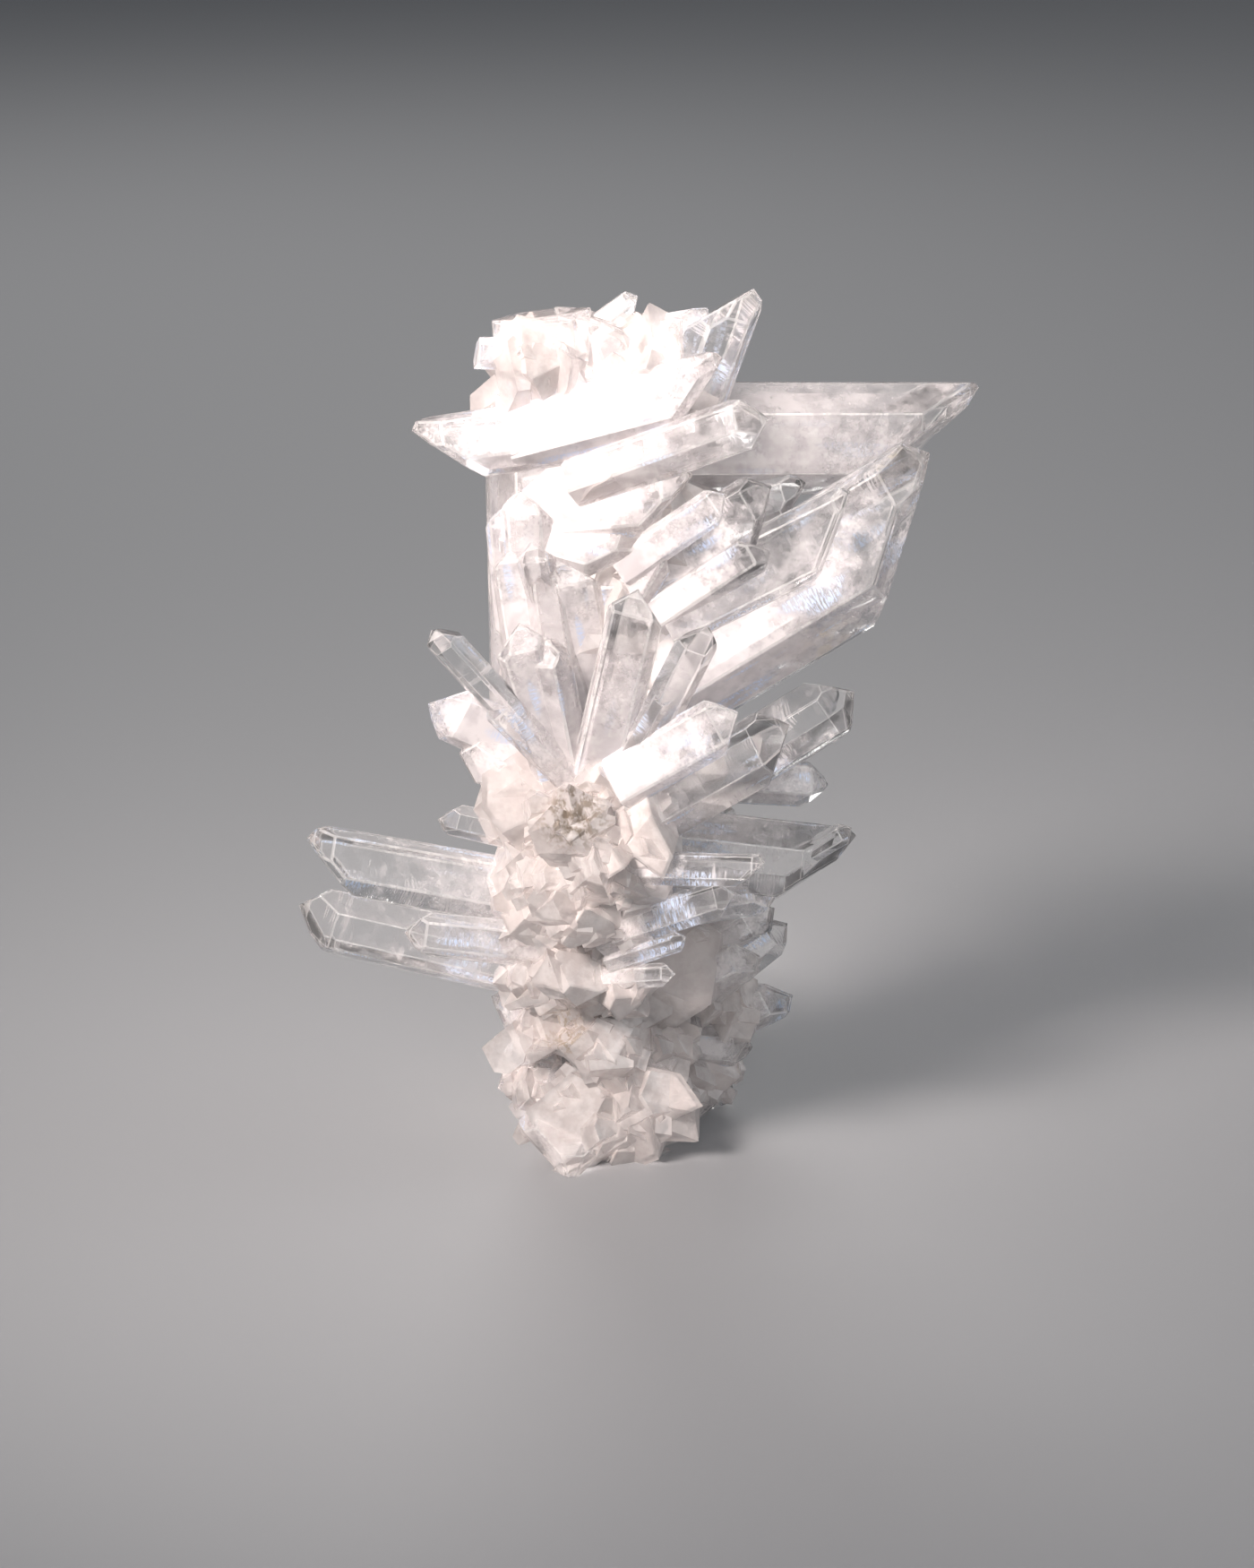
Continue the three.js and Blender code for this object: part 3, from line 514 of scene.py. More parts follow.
# Rough milky lumps that carry the crystals
LUMPS = [
    Lump((-6, 24.3, -5), (7, 7, 6)),
    Lump((4.2, 23.3, 2), (8.6, 9, 8)),
    Lump((-8.8, 30.8, -4), (6.6, 8, 7.5)),
    Lump((-1, 32.8, 2), (8.5, 11, 10)),
    Lump((-4, 38.8, -9), (7.6, 7, 6.8)),
    Lump((-8.8, 43.6, -3), (7.2, 9, 6.6)),
    Lump((-1, 48.8, 0), (9, 11, 9)),
    Lump((-1, 61.8, -1), (8, 9, 8)),
    Lump((1.2, 71.8, -1), (7, 8, 7)),
    Lump((0, 79.8, -1), (6, 8, 6)),
    Lump((1.5, 91, 1), (6.6, 6.5, 6)),
    Lump((-9.7, 91.3, -1), (5.2, 6, 5.4)),
    Lump((-6, 40.2, -13), (4.9, 4.4, 4.2), faces=14, rough=0.22),
    Lump((-3.2, 36.3, -14), (4.2, 3.8, 3.4), rough=0.4),
    Lump((2.2, 39.2, -11), (3.6, 4.6, 5.8), faces=14, rough=0.2),
    Lump((-2.7, 44.4, -10), (3.4, 4, 3.2)),
    Lump((-7.2, 33.4, -11), (6, 5, 3.8), rough=0.4),
    Lump((0.2, 33.4, -11), (4.2, 4.4, 3.2), rough=0.4),
    Lump((-10, 29.6, -9), (4, 4.4, 2.8), rough=0.4),
    Lump((-4.5, 29.2, -11), (4.4, 4, 2.8), rough=0.4),
    Lump((0.5, 28.8, -9), (3.8, 4, 2.8), rough=0.4),
    Lump((-6, 22.8, -10), (5.6, 4.6, 4.2)),
    Lump((-0.8, 22.2, -9), (3.8, 4.4, 3.6)),
    Lump((-10.8, 23.3, -7), (3.4, 4.4, 3.6)),
    Lump((9, 23.3, 4), (4.6, 6, 4.6)),
    Lump((11.5, 19.6, 5), (3.4, 5, 3.2)),
    Lump((-1, 11.8, -2), (8.4, 9.5, 8.4)),
    Lump((-2.8, 15.3, -9), (5, 4.6, 3.8)),
    Lump((-9.4, 16.8, -6), (4, 4.6, 4.2)),
    Lump((-10.6, 10.8, -6), (3, 4.6, 3)),
    Lump((0.4, 9.2, -7), (6, 5, 4.6)),
    Lump((4.8, 15, -2), (3.4, 5, 3.4)),
    Lump((5.6, 10.6, 3), (4, 6, 4.6)),
    Lump((9.6, 12.6, 5), (3.4, 5, 4)),
    Lump((0, 4.2, -6), (3.8, 4.6, 3), rough=0.4),
    Lump((2.8, 5.6, -1), (3.2, 5.5, 2.8), rough=0.4),
    Lump((-6, 3.2, -8), (3.2, 4, 2.6)),
    Lump((-9.4, 8, -5), (2, 4.4, 2.4)),
    Lump((-4.2, 7.8, -9), (5, 3.4, 6.2)),
    Lump((-0.6, 8, -7), (5.4, 4.2, 6)),
    Lump((3.4, 9.8, -1), (4.2, 4.4, 4.4)),
]

# The body's middle and half sizes at each height up it: height, x, y, half width, half depth
BODY_STATIONS = np.array([
    [3, 1, 1, 6.5, 10.5],
    [14, 0.5, 1, 10.5, 12],
    [27, -1.5, 1, 11.5, 11],
    [42, -3.5, 1, 12, 11],
    [58, -4.5, 2, 11, 10],
    [74, -4, 2, 11, 9],
    [90, -2, 2, 12, 8],
])
# The small crystals that crowd the body, and the heights of the first and last of them
CROWD_COUNT = 30
CROWD_LOWEST = 5
CROWD_HIGHEST = 89
# Fragments and chips on each lump: how many, how far out and how large
FRAGMENTS = 9
FRAGMENT_DEPTH = 0.62
FRAGMENT_SIZE = 0.5
CHIPS_PER_MM = 1.8
CHIP_DEPTH = 0.84
CHIP_MM = 1.5
# In metres: the block of space under the table, and how near two vertices are one
UNDER_TABLE = 0.4
SAME_VERTEX = 1e-6
# How far the key lamp opens, and where in metres every lamp aims
KEY_SPREAD = math.radians(75)
LAMP_AIM = Vector((0, 0, 0.07))


def crowd() -> list[Crystal]:
    """Make the small crystals that crowd the body all round.

    They climb the body at even heights and wind round it by the golden turn, each from
    the middle of the body outwards.

    Returns:
        The crystals, placed by real places.
    """
    chance = Chances(4)
    found = []
    for k, height in enumerate(np.linspace(CROWD_LOWEST, CROWD_HIGHEST, CROWD_COUNT)):
        x, y, half_width, half_depth = (
            np.interp(height, BODY_STATIONS[:, 0], column) for column in BODY_STATIONS.T[1:]
        )
        turn = GOLDEN_TURN * k + 0.6 * chance.next()
        reach = 0.9 + 0.14 * chance.next()
        luck = chance.next()
        rise = 1 - 5 * luck if height < 20 else 7 * luck - 2
        behind = max(0.0, math.sin(turn))
        tip = (
            x + half_width * reach * math.cos(turn),
            y + half_depth * (reach + 0.35 * behind) * math.sin(turn),
            height + rise,
        )
        width = 3 + 3.5 * chance.next()
        roll = 60 * chance.next()
        found.append(Crystal((x, y, height), tip, width, roll=roll, lean=(chance.next() - 0.5, 0),
                             seed=200 + k, habit=Habit.MILKY, real_places=True))
    return found


def numbered(shapes: list, first: int) -> list:
    """Give each shape its own seed.

    Args:
        shapes: crystals or lumps.
        first: the first seed.

    Returns:
        The same shapes with seeds counted up from the first.
    """
    return [replace(shape, seed=first + k) for k, shape in enumerate(shapes)]


@dataclass
class Specimen:
    """All shapes of the cluster and the move that centres it."""

    crystals: list[Crystal] = field(default_factory=list)
    lumps: list[Lump] = field(default_factory=list)
    centre: np.ndarray = field(default_factory=lambda: np.zeros(3))

    def __post_init__(self) -> None:
        """Number the shapes and find the middle of them all above the ground."""
        rows = ((TOP, 1), (MIDDLE, 31), (BURST, 51), (LEFT, 81), (FOOT, 91), (BACK, 121))
        self.crystals = [one for row, first in rows for one in numbered(row, first)] + crowd()
        self.lumps = numbered(LUMPS, 1)
        corners = np.concatenate([one.facets().corners for one in self.crystals + self.lumps])
        corners = corners[corners[:, 2] > 0]
        self.centre = (corners.max(axis=0) + corners.min(axis=0)) / 2
        self.centre[2] = 0

    def of(self, *habits: Habit) -> list[Crystal]:
        """Return the crystals of these habits."""
        return [one for one in self.crystals if one.habit in habits]


class Workshop:
    """Turns shapes into Blender objects and joins them."""

    def __init__(self, centre: np.ndarray) -> None:
        """Keep the place that becomes the origin.

        Args:
            centre: that place in millimetres.
        """
        self.centre = centre

    def raise_facets(self, name: str, facets: Facets, bevel: float,
                     finish: bpy.types.Material) -> bpy.types.Object:
        """Make one mesh of a shape with slightly broken edges.

        Args:
            name: the object's name.
            facets: the shape in millimetres.
            bevel: width of the broken edges in millimetres, or 0 for none.
            finish: its material.

        Returns:
            The new object, in metres.
        """
        mesh = bpy.data.meshes.new(name)
        mesh.from_pydata((facets.corners - self.centre) * MM, [], facets.faces)
        if bevel:
            work = bmesh.new()
            work.from_mesh(mesh)
            bmesh.ops.bevel(work, geom=work.edges[:], offset=bevel * MM, segments=1,
                            affect="EDGES", profile=0.5, clamp_overlap=True)
            bmesh.ops.remove_doubles(work, verts=work.verts[:], dist=SAME_VERTEX)
            bmesh.ops.recalc_face_normals(work, faces=work.faces[:])
            work.to_mesh(mesh)
            work.free()
        mesh.materials.append(finish)
        piece = bpy.data.objects.new(name, mesh)
        bpy.context.scene.collection.objects.link(piece)
        return piece

    def map_crystal(self, piece: bpy.types.Object, crystal: Crystal, share: float = 1.0) -> None:
        """Give a crystal's mesh its own coordinates.

        In UVMap, u is the distance across the crystal and v the distance along it, both
        in millimetres. In milk, u is the share of its length from foot to tip, and v how
        milky it is. wall is 1 on the long sides and 0 on the ends, rim is 1 on the narrow
        faces along its edges, and tone is each face's own chance.

        Args:
            piece: the crystal's object.
            crystal: its shape.
            share: what part of the crystal's length the mesh has.
        """
        side, front, along = crystal.directions()
        foot, tip = crystal.ends()
        mesh = piece.data
        points = np.empty(len(mesh.vertices) * 3)
        mesh.vertices.foreach_get("co", points)
        points = points.reshape(-1, 3) / MM + self.centre - foot
        corner = np.empty(len(mesh.loops), dtype=np.int32)
        mesh.loops.foreach_get("vertex_index", corner)
        across = points @ side + 1.7 * (points @ front)
        length = np.linalg.norm(tip - foot) * share
        milk = np.full(len(points), crystal.habit.value)
        maps = {"UVMap": (across, points @ along), "milk": (points @ along / length, milk)}
        for label, pair in maps.items():
            layer = mesh.uv_layers.new(name=label)
            layer.data.foreach_set("uv", np.stack(pair, axis=1)[corner].ravel())
        main = crystal.planes()[0]
        main = main / np.linalg.norm(main, axis=1)[:, None]
        self.mark_faces(piece, "wall", lambda normals: np.abs(normals @ along) < 0.3)
        self.mark_faces(piece, "rim", lambda normals: (normals @ main.T).max(axis=1) < 0.995)
        self.mark_faces(piece, "tone", self.chance_of)

    @staticmethod
    def chance_of(normals: np.ndarray) -> np.ndarray:
        """Return a chance between 0 and 1 for each face: the fraction of a large sine."""
        return np.modf(np.abs(np.sin(normals @ (12.99, 78.23, 37.72)) * 437.58))[0]

    @staticmethod
    def mark_faces(piece: bpy.types.Object, label: str, rule: Callable[[np.ndarray], np.ndarray]) -> None:
        """Store a number on every face.

        Args:
            piece: the object.
            label: the number's name.
            rule: takes all face normals and returns the numbers.
        """
        mesh = piece.data
        normals = np.empty(len(mesh.polygons) * 3)
        mesh.polygons.foreach_get("normal", normals)
        attribute = mesh.attributes.new(label, "FLOAT", "FACE")
        attribute.data.foreach_set("value", rule(normals.reshape(-1, 3)).astype(float))

    def join(self, name: str, pieces: list[bpy.types.Object]) -> bpy.types.Object:
        """Join overlapping closed pieces to one closed skin, cut flat on the table.

        Args:
            name: the joined object's name.
            pieces: the pieces, which are used up.

        Returns:
            The joined object.
        """
        base, rest = pieces[0], pieces[1:]
        others = bpy.data.collections.new(name)
        bpy.context.scene.collection.children.link(others)
        for piece in rest:
            others.objects.link(piece)
        union = base.modifiers.new("grown", "BOOLEAN")
        union.operation, union.operand_type, union.solver = "UNION", "COLLECTION", "MANIFOLD"
        union.collection = others
        table = self.under_table()
        cut = base.modifiers.new("flat", "BOOLEAN")
        cut.operation, cut.solver, cut.object = "DIFFERENCE", "MANIFOLD", table
        graph = bpy.context.evaluated_depsgraph_get()
        mesh = bpy.data.meshes.new_from_object(base.evaluated_get(graph))
        mesh.name = name
        joined = bpy.data.objects.new(name, mesh)
        bpy.context.scene.collection.objects.link(joined)
        for piece in pieces + [table]:
            bpy.data.objects.remove(piece)
        bpy.data.collections.remove(others)
        return joined

    @staticmethod
    def under_table() -> bpy.types.Object:
        """Make the block of space under the table's surface."""
        work = bmesh.new()
        bmesh.ops.create_cube(work, size=UNDER_TABLE)
        bmesh.ops.translate(work, verts=work.verts[:], vec=(0, 0, -UNDER_TABLE / 2))
        mesh = bpy.data.meshes.new("under_table")
        work.to_mesh(mesh)
        work.free()
        block = bpy.data.objects.new("under_table", mesh)
        bpy.context.scene.collection.objects.link(block)
        return block


def place_in_frame(piece: bpy.types.Object) -> bpy.types.Object:
    """Tie a finished piece to the frame and return it."""
    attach(piece, BODY)
    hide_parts(NODE)
    return piece


class Net:
    """A node tree with short calls."""

    def __init__(self, tree: bpy.types.NodeTree) -> None:
        """Keep the tree.

        Args:
            tree: the tree to add to.
        """
        self.tree = tree

    def add(self, kind: str, inputs: dict | None = None, **settings: object) -> bpy.types.Node:
        """Add one node.

        Args:
            kind: the node's type name without the shader prefix.
            inputs: values or sockets for its inputs, by name or number.
            settings: its own settings.

        Returns:
            The node.
        """
        node = self.tree.nodes.new("ShaderNode" + kind)
        for label, value in settings.items():
            setattr(node, label, value)
        self.fill(node, inputs or {})
        return node

    def fill(self, node: bpy.types.Node, inputs: dict) -> None:
        """Set a node's inputs to values or link them to sockets, by name or number."""
        for label, value in inputs.items():
            if isinstance(value, bpy.types.NodeSocket):
                self.link(value, node.inputs[label])
            else:
                node.inputs[label].default_value = value

    def link(self, value: bpy.types.NodeSocket, socket: bpy.types.NodeSocket) -> None:
        """Link a result to an input."""
        self.tree.links.new(value, socket)

    def place(self) -> bpy.types.NodeSocket:
        """Add the place on the object in metres."""
        return self.add("TexCoord").outputs["Object"]

    def face(self, label: str) -> bpy.types.NodeSocket:
        """Add the number stored on each face under this name."""
        return self.add("Attribute", attribute_name=label).outputs["Fac"]

    def math(self, operation: str, *values: object) -> bpy.types.NodeSocket:
        """Add a Math node and return its result."""
        return self.add("Math", dict(enumerate(values)), operation=operation).outputs[0]

    def times(self, *values: object) -> bpy.types.NodeSocket:
        """Multiply all values, from the first on."""
        return reduce(lambda sofar, value: self.math("MULTIPLY", sofar, value), values)

    def plus(self, *values: object) -> bpy.types.NodeSocket:
        """Add all values up, from the first on."""
        return reduce(lambda sofar, value: self.math("ADD", sofar, value), values)

    def ramp(self, value: bpy.types.NodeSocket, low: float, high: float,
             start: float = 0.0, end: float = 1.0) -> bpy.types.NodeSocket:
        """Map a value from low and high to start and end, smoothly and clamped."""
        node = self.add("MapRange", {0: value, 1: low, 2: high, 3: start, 4: end},
                        interpolation_type="SMOOTHSTEP")
        return node.outputs[0]

    def noise(self, vector: bpy.types.NodeSocket, scale: float, detail: float = 3.0,
              rough: float = 0.55) -> bpy.types.NodeSocket:
        """Add a Noise node and return its value."""
        node = self.add("TexNoise", {"Vector": vector, "Scale": scale, "Detail": detail,
                                     "Roughness": rough})
        return node.outputs["Fac"]

    def mix(self, share: object, first: object, second: object) -> bpy.types.NodeSocket:
        """Mix two colours and return the result."""
        return self.add("Mix", {0: share, 6: first, 7: second}, data_type="RGBA").outputs[2]


def new_group(name: str, inputs: dict[str, float], outputs: dict[str, str]) -> tuple:
    """Start a node group with named sockets.

    Args:
        name: the group's name.
        inputs: number inputs with their usual values.
        outputs: names and socket types.

    Returns:
        The group, its Net, its input sockets and its output node.
    """
    group = bpy.data.node_groups.new(name, "ShaderNodeTree")
    for label, value in inputs.items():
        socket = group.interface.new_socket(label, in_out="INPUT", socket_type="NodeSocketFloat")
        socket.default_value = value
    for label, kind in outputs.items():
        group.interface.new_socket(label, in_out="OUTPUT", socket_type=kind)
    start = group.nodes.new("NodeGroupInput")
    end = group.nodes.new("NodeGroupOutput")
    return group, Net(group), start.outputs, end.inputs


@dataclass
class SurfaceEffects:
    """The effects that the finishes share, each built once."""

    growth_lines: bpy.types.NodeTree = None
    sugar: bpy.types.NodeTree = None
    veil: bpy.types.NodeTree = None
    stain: bpy.types.NodeTree = None
    # the group that paints blue reflections
    painted_blue_glint: bpy.types.NodeTree = None

    def __post_init__(self) -> None:
        """Build every group."""
        self.growth_lines = self.build_growth_lines()
        self.sugar = self.build_sugar()
        self.veil = self.build_veil()
        self.stain = self.build_stain()
        self.painted_blue_glint = self.build_painted_blue_glint()

    @staticmethod
    def build_growth_lines() -> bpy.types.NodeTree:
        """Fine steps across a crystal's long sides: noise stretched across the crystal."""
        group, net, start, end = new_group(
            "growth_lines", {"Lines per mm": 3.0, "Strength": 1.0},
            {"Height": "NodeSocketFloat", "Mask": "NodeSocketFloat"})
        place = net.add("UVMap", uv_map="UVMap").outputs[0]
        parts = net.add("SeparateXYZ", {0: place}).outputs
        wander = net.times(net.noise(place, 0.35, 1.0), 1.3)
        along = net.times(net.plus(parts[1], wander), start["Lines per mm"])
        lines = net.add("CombineXYZ", {0: net.times(parts[0], 0.12), 1: along}).outputs[0]
        fine = net.noise(lines, 1.0, 2.0, 0.7)
        patches = net.ramp(net.noise(place, 0.22, 1.0), 0.42, 0.62)
        mask = net.times(patches, net.face("wall"), start["Strength"])
        net.link(net.times(fine, mask), end["Height"])
        net.link(mask, end["Mask"])
        return group

    @staticmethod
    def build_sugar() -> bpy.types.NodeTree:
        """Small flat grains, as in broken milky quartz: Voronoi cells at two sizes."""
        group, net, start, end = new_group(
            "sugar", {"Grain mm": 1.4},
            {"Height": "NodeSocketFloat", "Glint": "NodeSocketFloat", "Tone": "NodeSocketFloat"})
        place = net.place()
        scale = net.math("DIVIDE", 1000.0, start["Grain mm"])
        large = net.add("TexVoronoi", {"Vector": place, "Scale": scale})
        small = net.add("TexVoronoi", {"Vector": place, "Scale": net.times(scale, 2.7)})
        height = net.plus(large.outputs["Distance"], net.times(small.outputs["Distance"], 0.4))
        value = net.add("SeparateColor", {0: small.outputs["Color"]}).outputs[0]
        net.link(height, end["Height"])
        net.link(net.ramp(value, 0.7, 0.95), end["Glint"])
        tone = net.add("SeparateColor", {0: large.outputs["Color"]}).outputs[0]
        net.link(net.times(net.plus(tone, value), 0.5), end["Tone"])
        return group

    @staticmethod
    def build_veil() -> bpy.types.NodeTree:
        """Milky cloud that thins out towards the point: noise against the share of length."""
        group, net, start, end = new_group(
            "veil", {"Density": 0.6, "Cloud size mm": 4.0}, {"Mask": "NodeSocketFloat"})
        place = net.place()
        scale = net.math("DIVIDE", 1000.0, start["Cloud size mm"])
        cloud = net.noise(place, scale, 3.0, 0.65)
        specks = net.noise(place, net.times(scale, 7.0), 1.0, 0.6)
        reach, milk, _ = net.add("SeparateXYZ", {0: net.add("UVMap", uv_map="milk").outputs[0]}).outputs
        fade = net.math("SUBTRACT", 1.0, reach)
        grown = net.plus(net.times(cloud, 1.5), net.times(specks, 0.35), net.times(fade, 0.75),
                         net.times(milk, 0.7))
        net.link(net.times(net.ramp(grown, 1.35, 2.0), start["Density"]), end["Mask"])
        return group

    @staticmethod
    def build_stain() -> bpy.types.NodeTree:
        """Patchy colour round one place: distance to the place, broken up by noise."""
        group, net, start, end = new_group(
            "stain", {"X mm": 0.0, "Y mm": 0.0, "Z mm": 0.0, "Radius mm": 3.0, "Patch mm": 1.2},
            {"Mask": "NodeSocketFloat"})
        place = net.place()
        middle = net.add("CombineXYZ", {0: start["X mm"], 1: start["Y mm"], 2: start["Z mm"]})
        scaled = net.add("VectorMath", {0: place, "Scale": 1000.0}, operation="SCALE").outputs[0]
        away = net.add("VectorMath", {0: scaled, 1: middle.outputs[0]}, operation="DISTANCE")
        near = net.ramp(net.math("DIVIDE", away.outputs["Value"], start["Radius mm"]), 0.3, 1.0, 1.0, 0.0)
        patch = net.noise(place, net.math("DIVIDE", 1000.0, start["Patch mm"]), 2.0, 0.65)
        net.link(net.times(near, net.ramp(patch, 0.42, 0.62)), end["Mask"])
        return group

    @staticmethod
    def build_painted_blue_glint() -> bpy.types.NodeTree:
        """Painted reflections of blue sky light: blue-white flecks in bands along some faces, fine flecks
        where slow noise is high.
        """
        group, net, start, end = new_group("painted_blue_glint", {"Amount": 1.0}, {"Mask": "NodeSocketFloat"})
        place = net.add("UVMap", uv_map="UVMap").outputs[0]
        band = net.add("Mapping", {"Vector": place, "Scale": (0.34, 0.07, 1.0)}).outputs[0]
        patch = net.ramp(net.noise(band, 1.0, 1.0), 0.56, 0.63)
        flecks = net.add("Mapping", {"Vector": place, "Scale": (1.2, 4.5, 1.0)}).outputs[0]
        fleck = net.ramp(net.noise(flecks, 1.0, 2.0, 0.7), 0.44, 0.58, 0.25, 1.0)
        some = net.ramp(net.face("tone"), 0.35, 0.5)
        net.link(net.times(patch, fleck, some, net.face("wall"), start["Amount"]), end["Mask"])
        return group


@dataclass(frozen=True)
class Stain:
    """A patch of colour in the quartz: its place, radius and patch size in millimetres."""

    place: Place
    radius: float
    patch: float
    strength: float
    colour: tuple[float, float, float, float]


# Brown inclusions in the front lobe, and dirt above the foot
STAINS = (
    Stain((-7.0, -26.1, 45.3), 6.0, 1.1, 0.95, (0.34, 0.28, 0.22, 1)),
    Stain((-8.5, -20.1, 17.0), 3.8, 0.8, 0.85, (0.46, 0.36, 0.25, 1)),
)
# Iron in the largest crystal
IRON = (
    Stain((27.6, -15.1, 82.2), 4.5, 1.5, 0.55, (0.90, 0.78, 0.50, 1)),
    Stain((20.7, -14.1, 62.2), 5.0, 2.0, 0.5, (0.90, 0.76, 0.52, 1)),
)


@dataclass(frozen=True)
class Finish:
    """What every finish has."""

    name: str

    def start(self) -> tuple[bpy.types.Material, Net, bpy.types.Node]:
        """Start a material and return it with its Net and its shader node."""
        material = bpy.data.materials.new(self.name)
        material.use_nodes = True
        net = Net(material.node_tree)
        return material, net, material.node_tree.nodes["Principled BSDF"]

    @staticmethod
    def pass_lamps(material: bpy.types.Material, net: Net, shader: bpy.types.Node) -> None:
        """Let the lamps' light through the surface, as thin quartz does.

        Args:
            material: the material.
            net: its nodes.
            shader: its shader node.
        """
        lamps = net.add("LightPath").outputs["Is Shadow Ray"]
        through = net.add("BsdfTransparent")
        both = net.add("MixShader", {0: lamps, 1: shader.outputs[0], 2: through.outputs[0]})
        output = material.node_tree.nodes["Material Output"]
        net.link(both.outputs[0], output.inputs["Surface"])

    @staticmethod
    def stain(net: Net, effects: SurfaceEffects, colour: bpy.types.NodeSocket,
              spots: tuple[Stain, ...]) -> bpy.types.NodeSocket:
        """Lay stains over a colour.

        Args:
            net: the material's nodes.
            effects: the shared groups.
            colour: the clean colour.
            spots: the stains.

        Returns:
            The stained colour.
        """
        for spot in spots:
            mask = net.add("Group", {"X mm": spot.place[0], "Y mm": spot.place[1],
                                     "Z mm": spot.place[2], "Radius mm": spot.radius,
                                     "Patch mm": spot.patch}, node_tree=effects.stain)
            colour = net.mix(net.times(mask.outputs[0], spot.strength), colour, spot.colour)
        return colour


@dataclass(frozen=True)
class CrystalSkin(Finish):
    """Glassy quartz: plain transmission for its clear share, white milk for the rest.

    broken gives it the grains, tones and stains of the broken body instead of absorption.
    """

    clear: float = 1.0
    colour: tuple[float, float, float, float] = (0.995, 0.99, 0.99, 1)
    shade: tuple[float, float, float, float] = (0.97, 0.965, 0.965, 1)
    ior: float = 1.544
    rough: float = 0.015
    line_rough: float = 0.12
    tint: tuple[float, float, float, float] = (0.90, 0.85, 0.80, 1)
    tint_density: float = 8.0
    deep: tuple[float, float, float, float] = (0.74, 0.68, 0.66, 1)
    broken: bool = False
    cloud_scale: float = 170.0

    def build(self, effects: SurfaceEffects) -> bpy.types.Material:
        """Build the material.

        Args:
            effects: the shared groups.

        Returns:
            The material.
        """
        material, net, shader = self.start()
        place = net.place()
        lines = net.add("Group", node_tree=effects.growth_lines)
        cloud = net.ramp(net.noise(place, self.cloud_scale, 3.0, 0.65), 0.38, 0.62)
        streaks = net.ramp(lines.outputs["Height"], 0.25, 0.6, 1.0, 0.35)
        colour = net.mix(net.times(cloud, streaks), self.shade, self.colour)
        height = net.plus(lines.outputs["Height"], net.times(net.noise(place, 260.0, 1.0), 0.25))
        if self.broken:
            colour = net.mix(net.times(net.face("tone"), 0.75), colour, self.deep)
            colour = self.stain(net, effects, colour, STAINS)
            sugar = net.add("Group", {"Grain mm": 2.2}, node_tree=effects.sugar)
            height = net.plus(height, net.times(sugar.outputs["Height"], 3.0))
        bump = net.add("Bump", {"Strength": 0.35, "Distance": 0.00012, "Height": height})
        rough = net.ramp(lines.outputs["Mask"], 0.0, 1.0, self.rough, self.line_rough)
        net.fill(shader, {"Transmission Weight": self.clear, "IOR": self.ior, "Base Color": colour,
                          "Normal": bump.outputs[0], "Roughness": rough})
        self.pass_lamps(material, net, shader)
        if not self.broken:
            inside = net.add("VolumeAbsorption", {"Color": self.tint, "Density": self.tint_density})
            net.link(inside.outputs[0], material.node_tree.nodes["Material Output"].inputs["Volume"])
        return material


@dataclass(frozen=True)
class MilkyQuartz(Finish):
    """White quartz in grains of slightly different tone."""

    name: str = "milky_quartz"
    colour: tuple[float, float, float, float] = (0.90, 0.85, 0.83, 1)
    shade: tuple[float, float, float, float] = (0.72, 0.66, 0.64, 1)
    grain_mm: float = 1.8

    def build(self, effects: SurfaceEffects) -> bpy.types.Material:
        """Build the material.

        Args:
            effects: the shared groups.

        Returns:
            The material.
        """
        material, net, shader = self.start()
        place = net.place()
        sugar = net.add("Group", {"Grain mm": self.grain_mm}, node_tree=effects.sugar)
        cloud = net.ramp(net.noise(place, 150.0, 4.0), 0.36, 0.62, 0.0, 0.6)
        tone = net.plus(cloud, net.times(sugar.outputs["Tone"], 0.5))
        colour = self.stain(net, effects, net.mix(tone, self.shade, self.colour), STAINS)
        bump = net.add("Bump", {"Strength": 0.5, "Distance": 0.0005, "Height": sugar.outputs["Height"]})
        rough = net.ramp(sugar.outputs["Glint"], 0.0, 1.0, 0.4, 0.12)
        net.fill(shader, {"Base Color": colour, "IOR": 1.5, "Normal": bump.outputs[0],
                          "Roughness": rough})
        return material


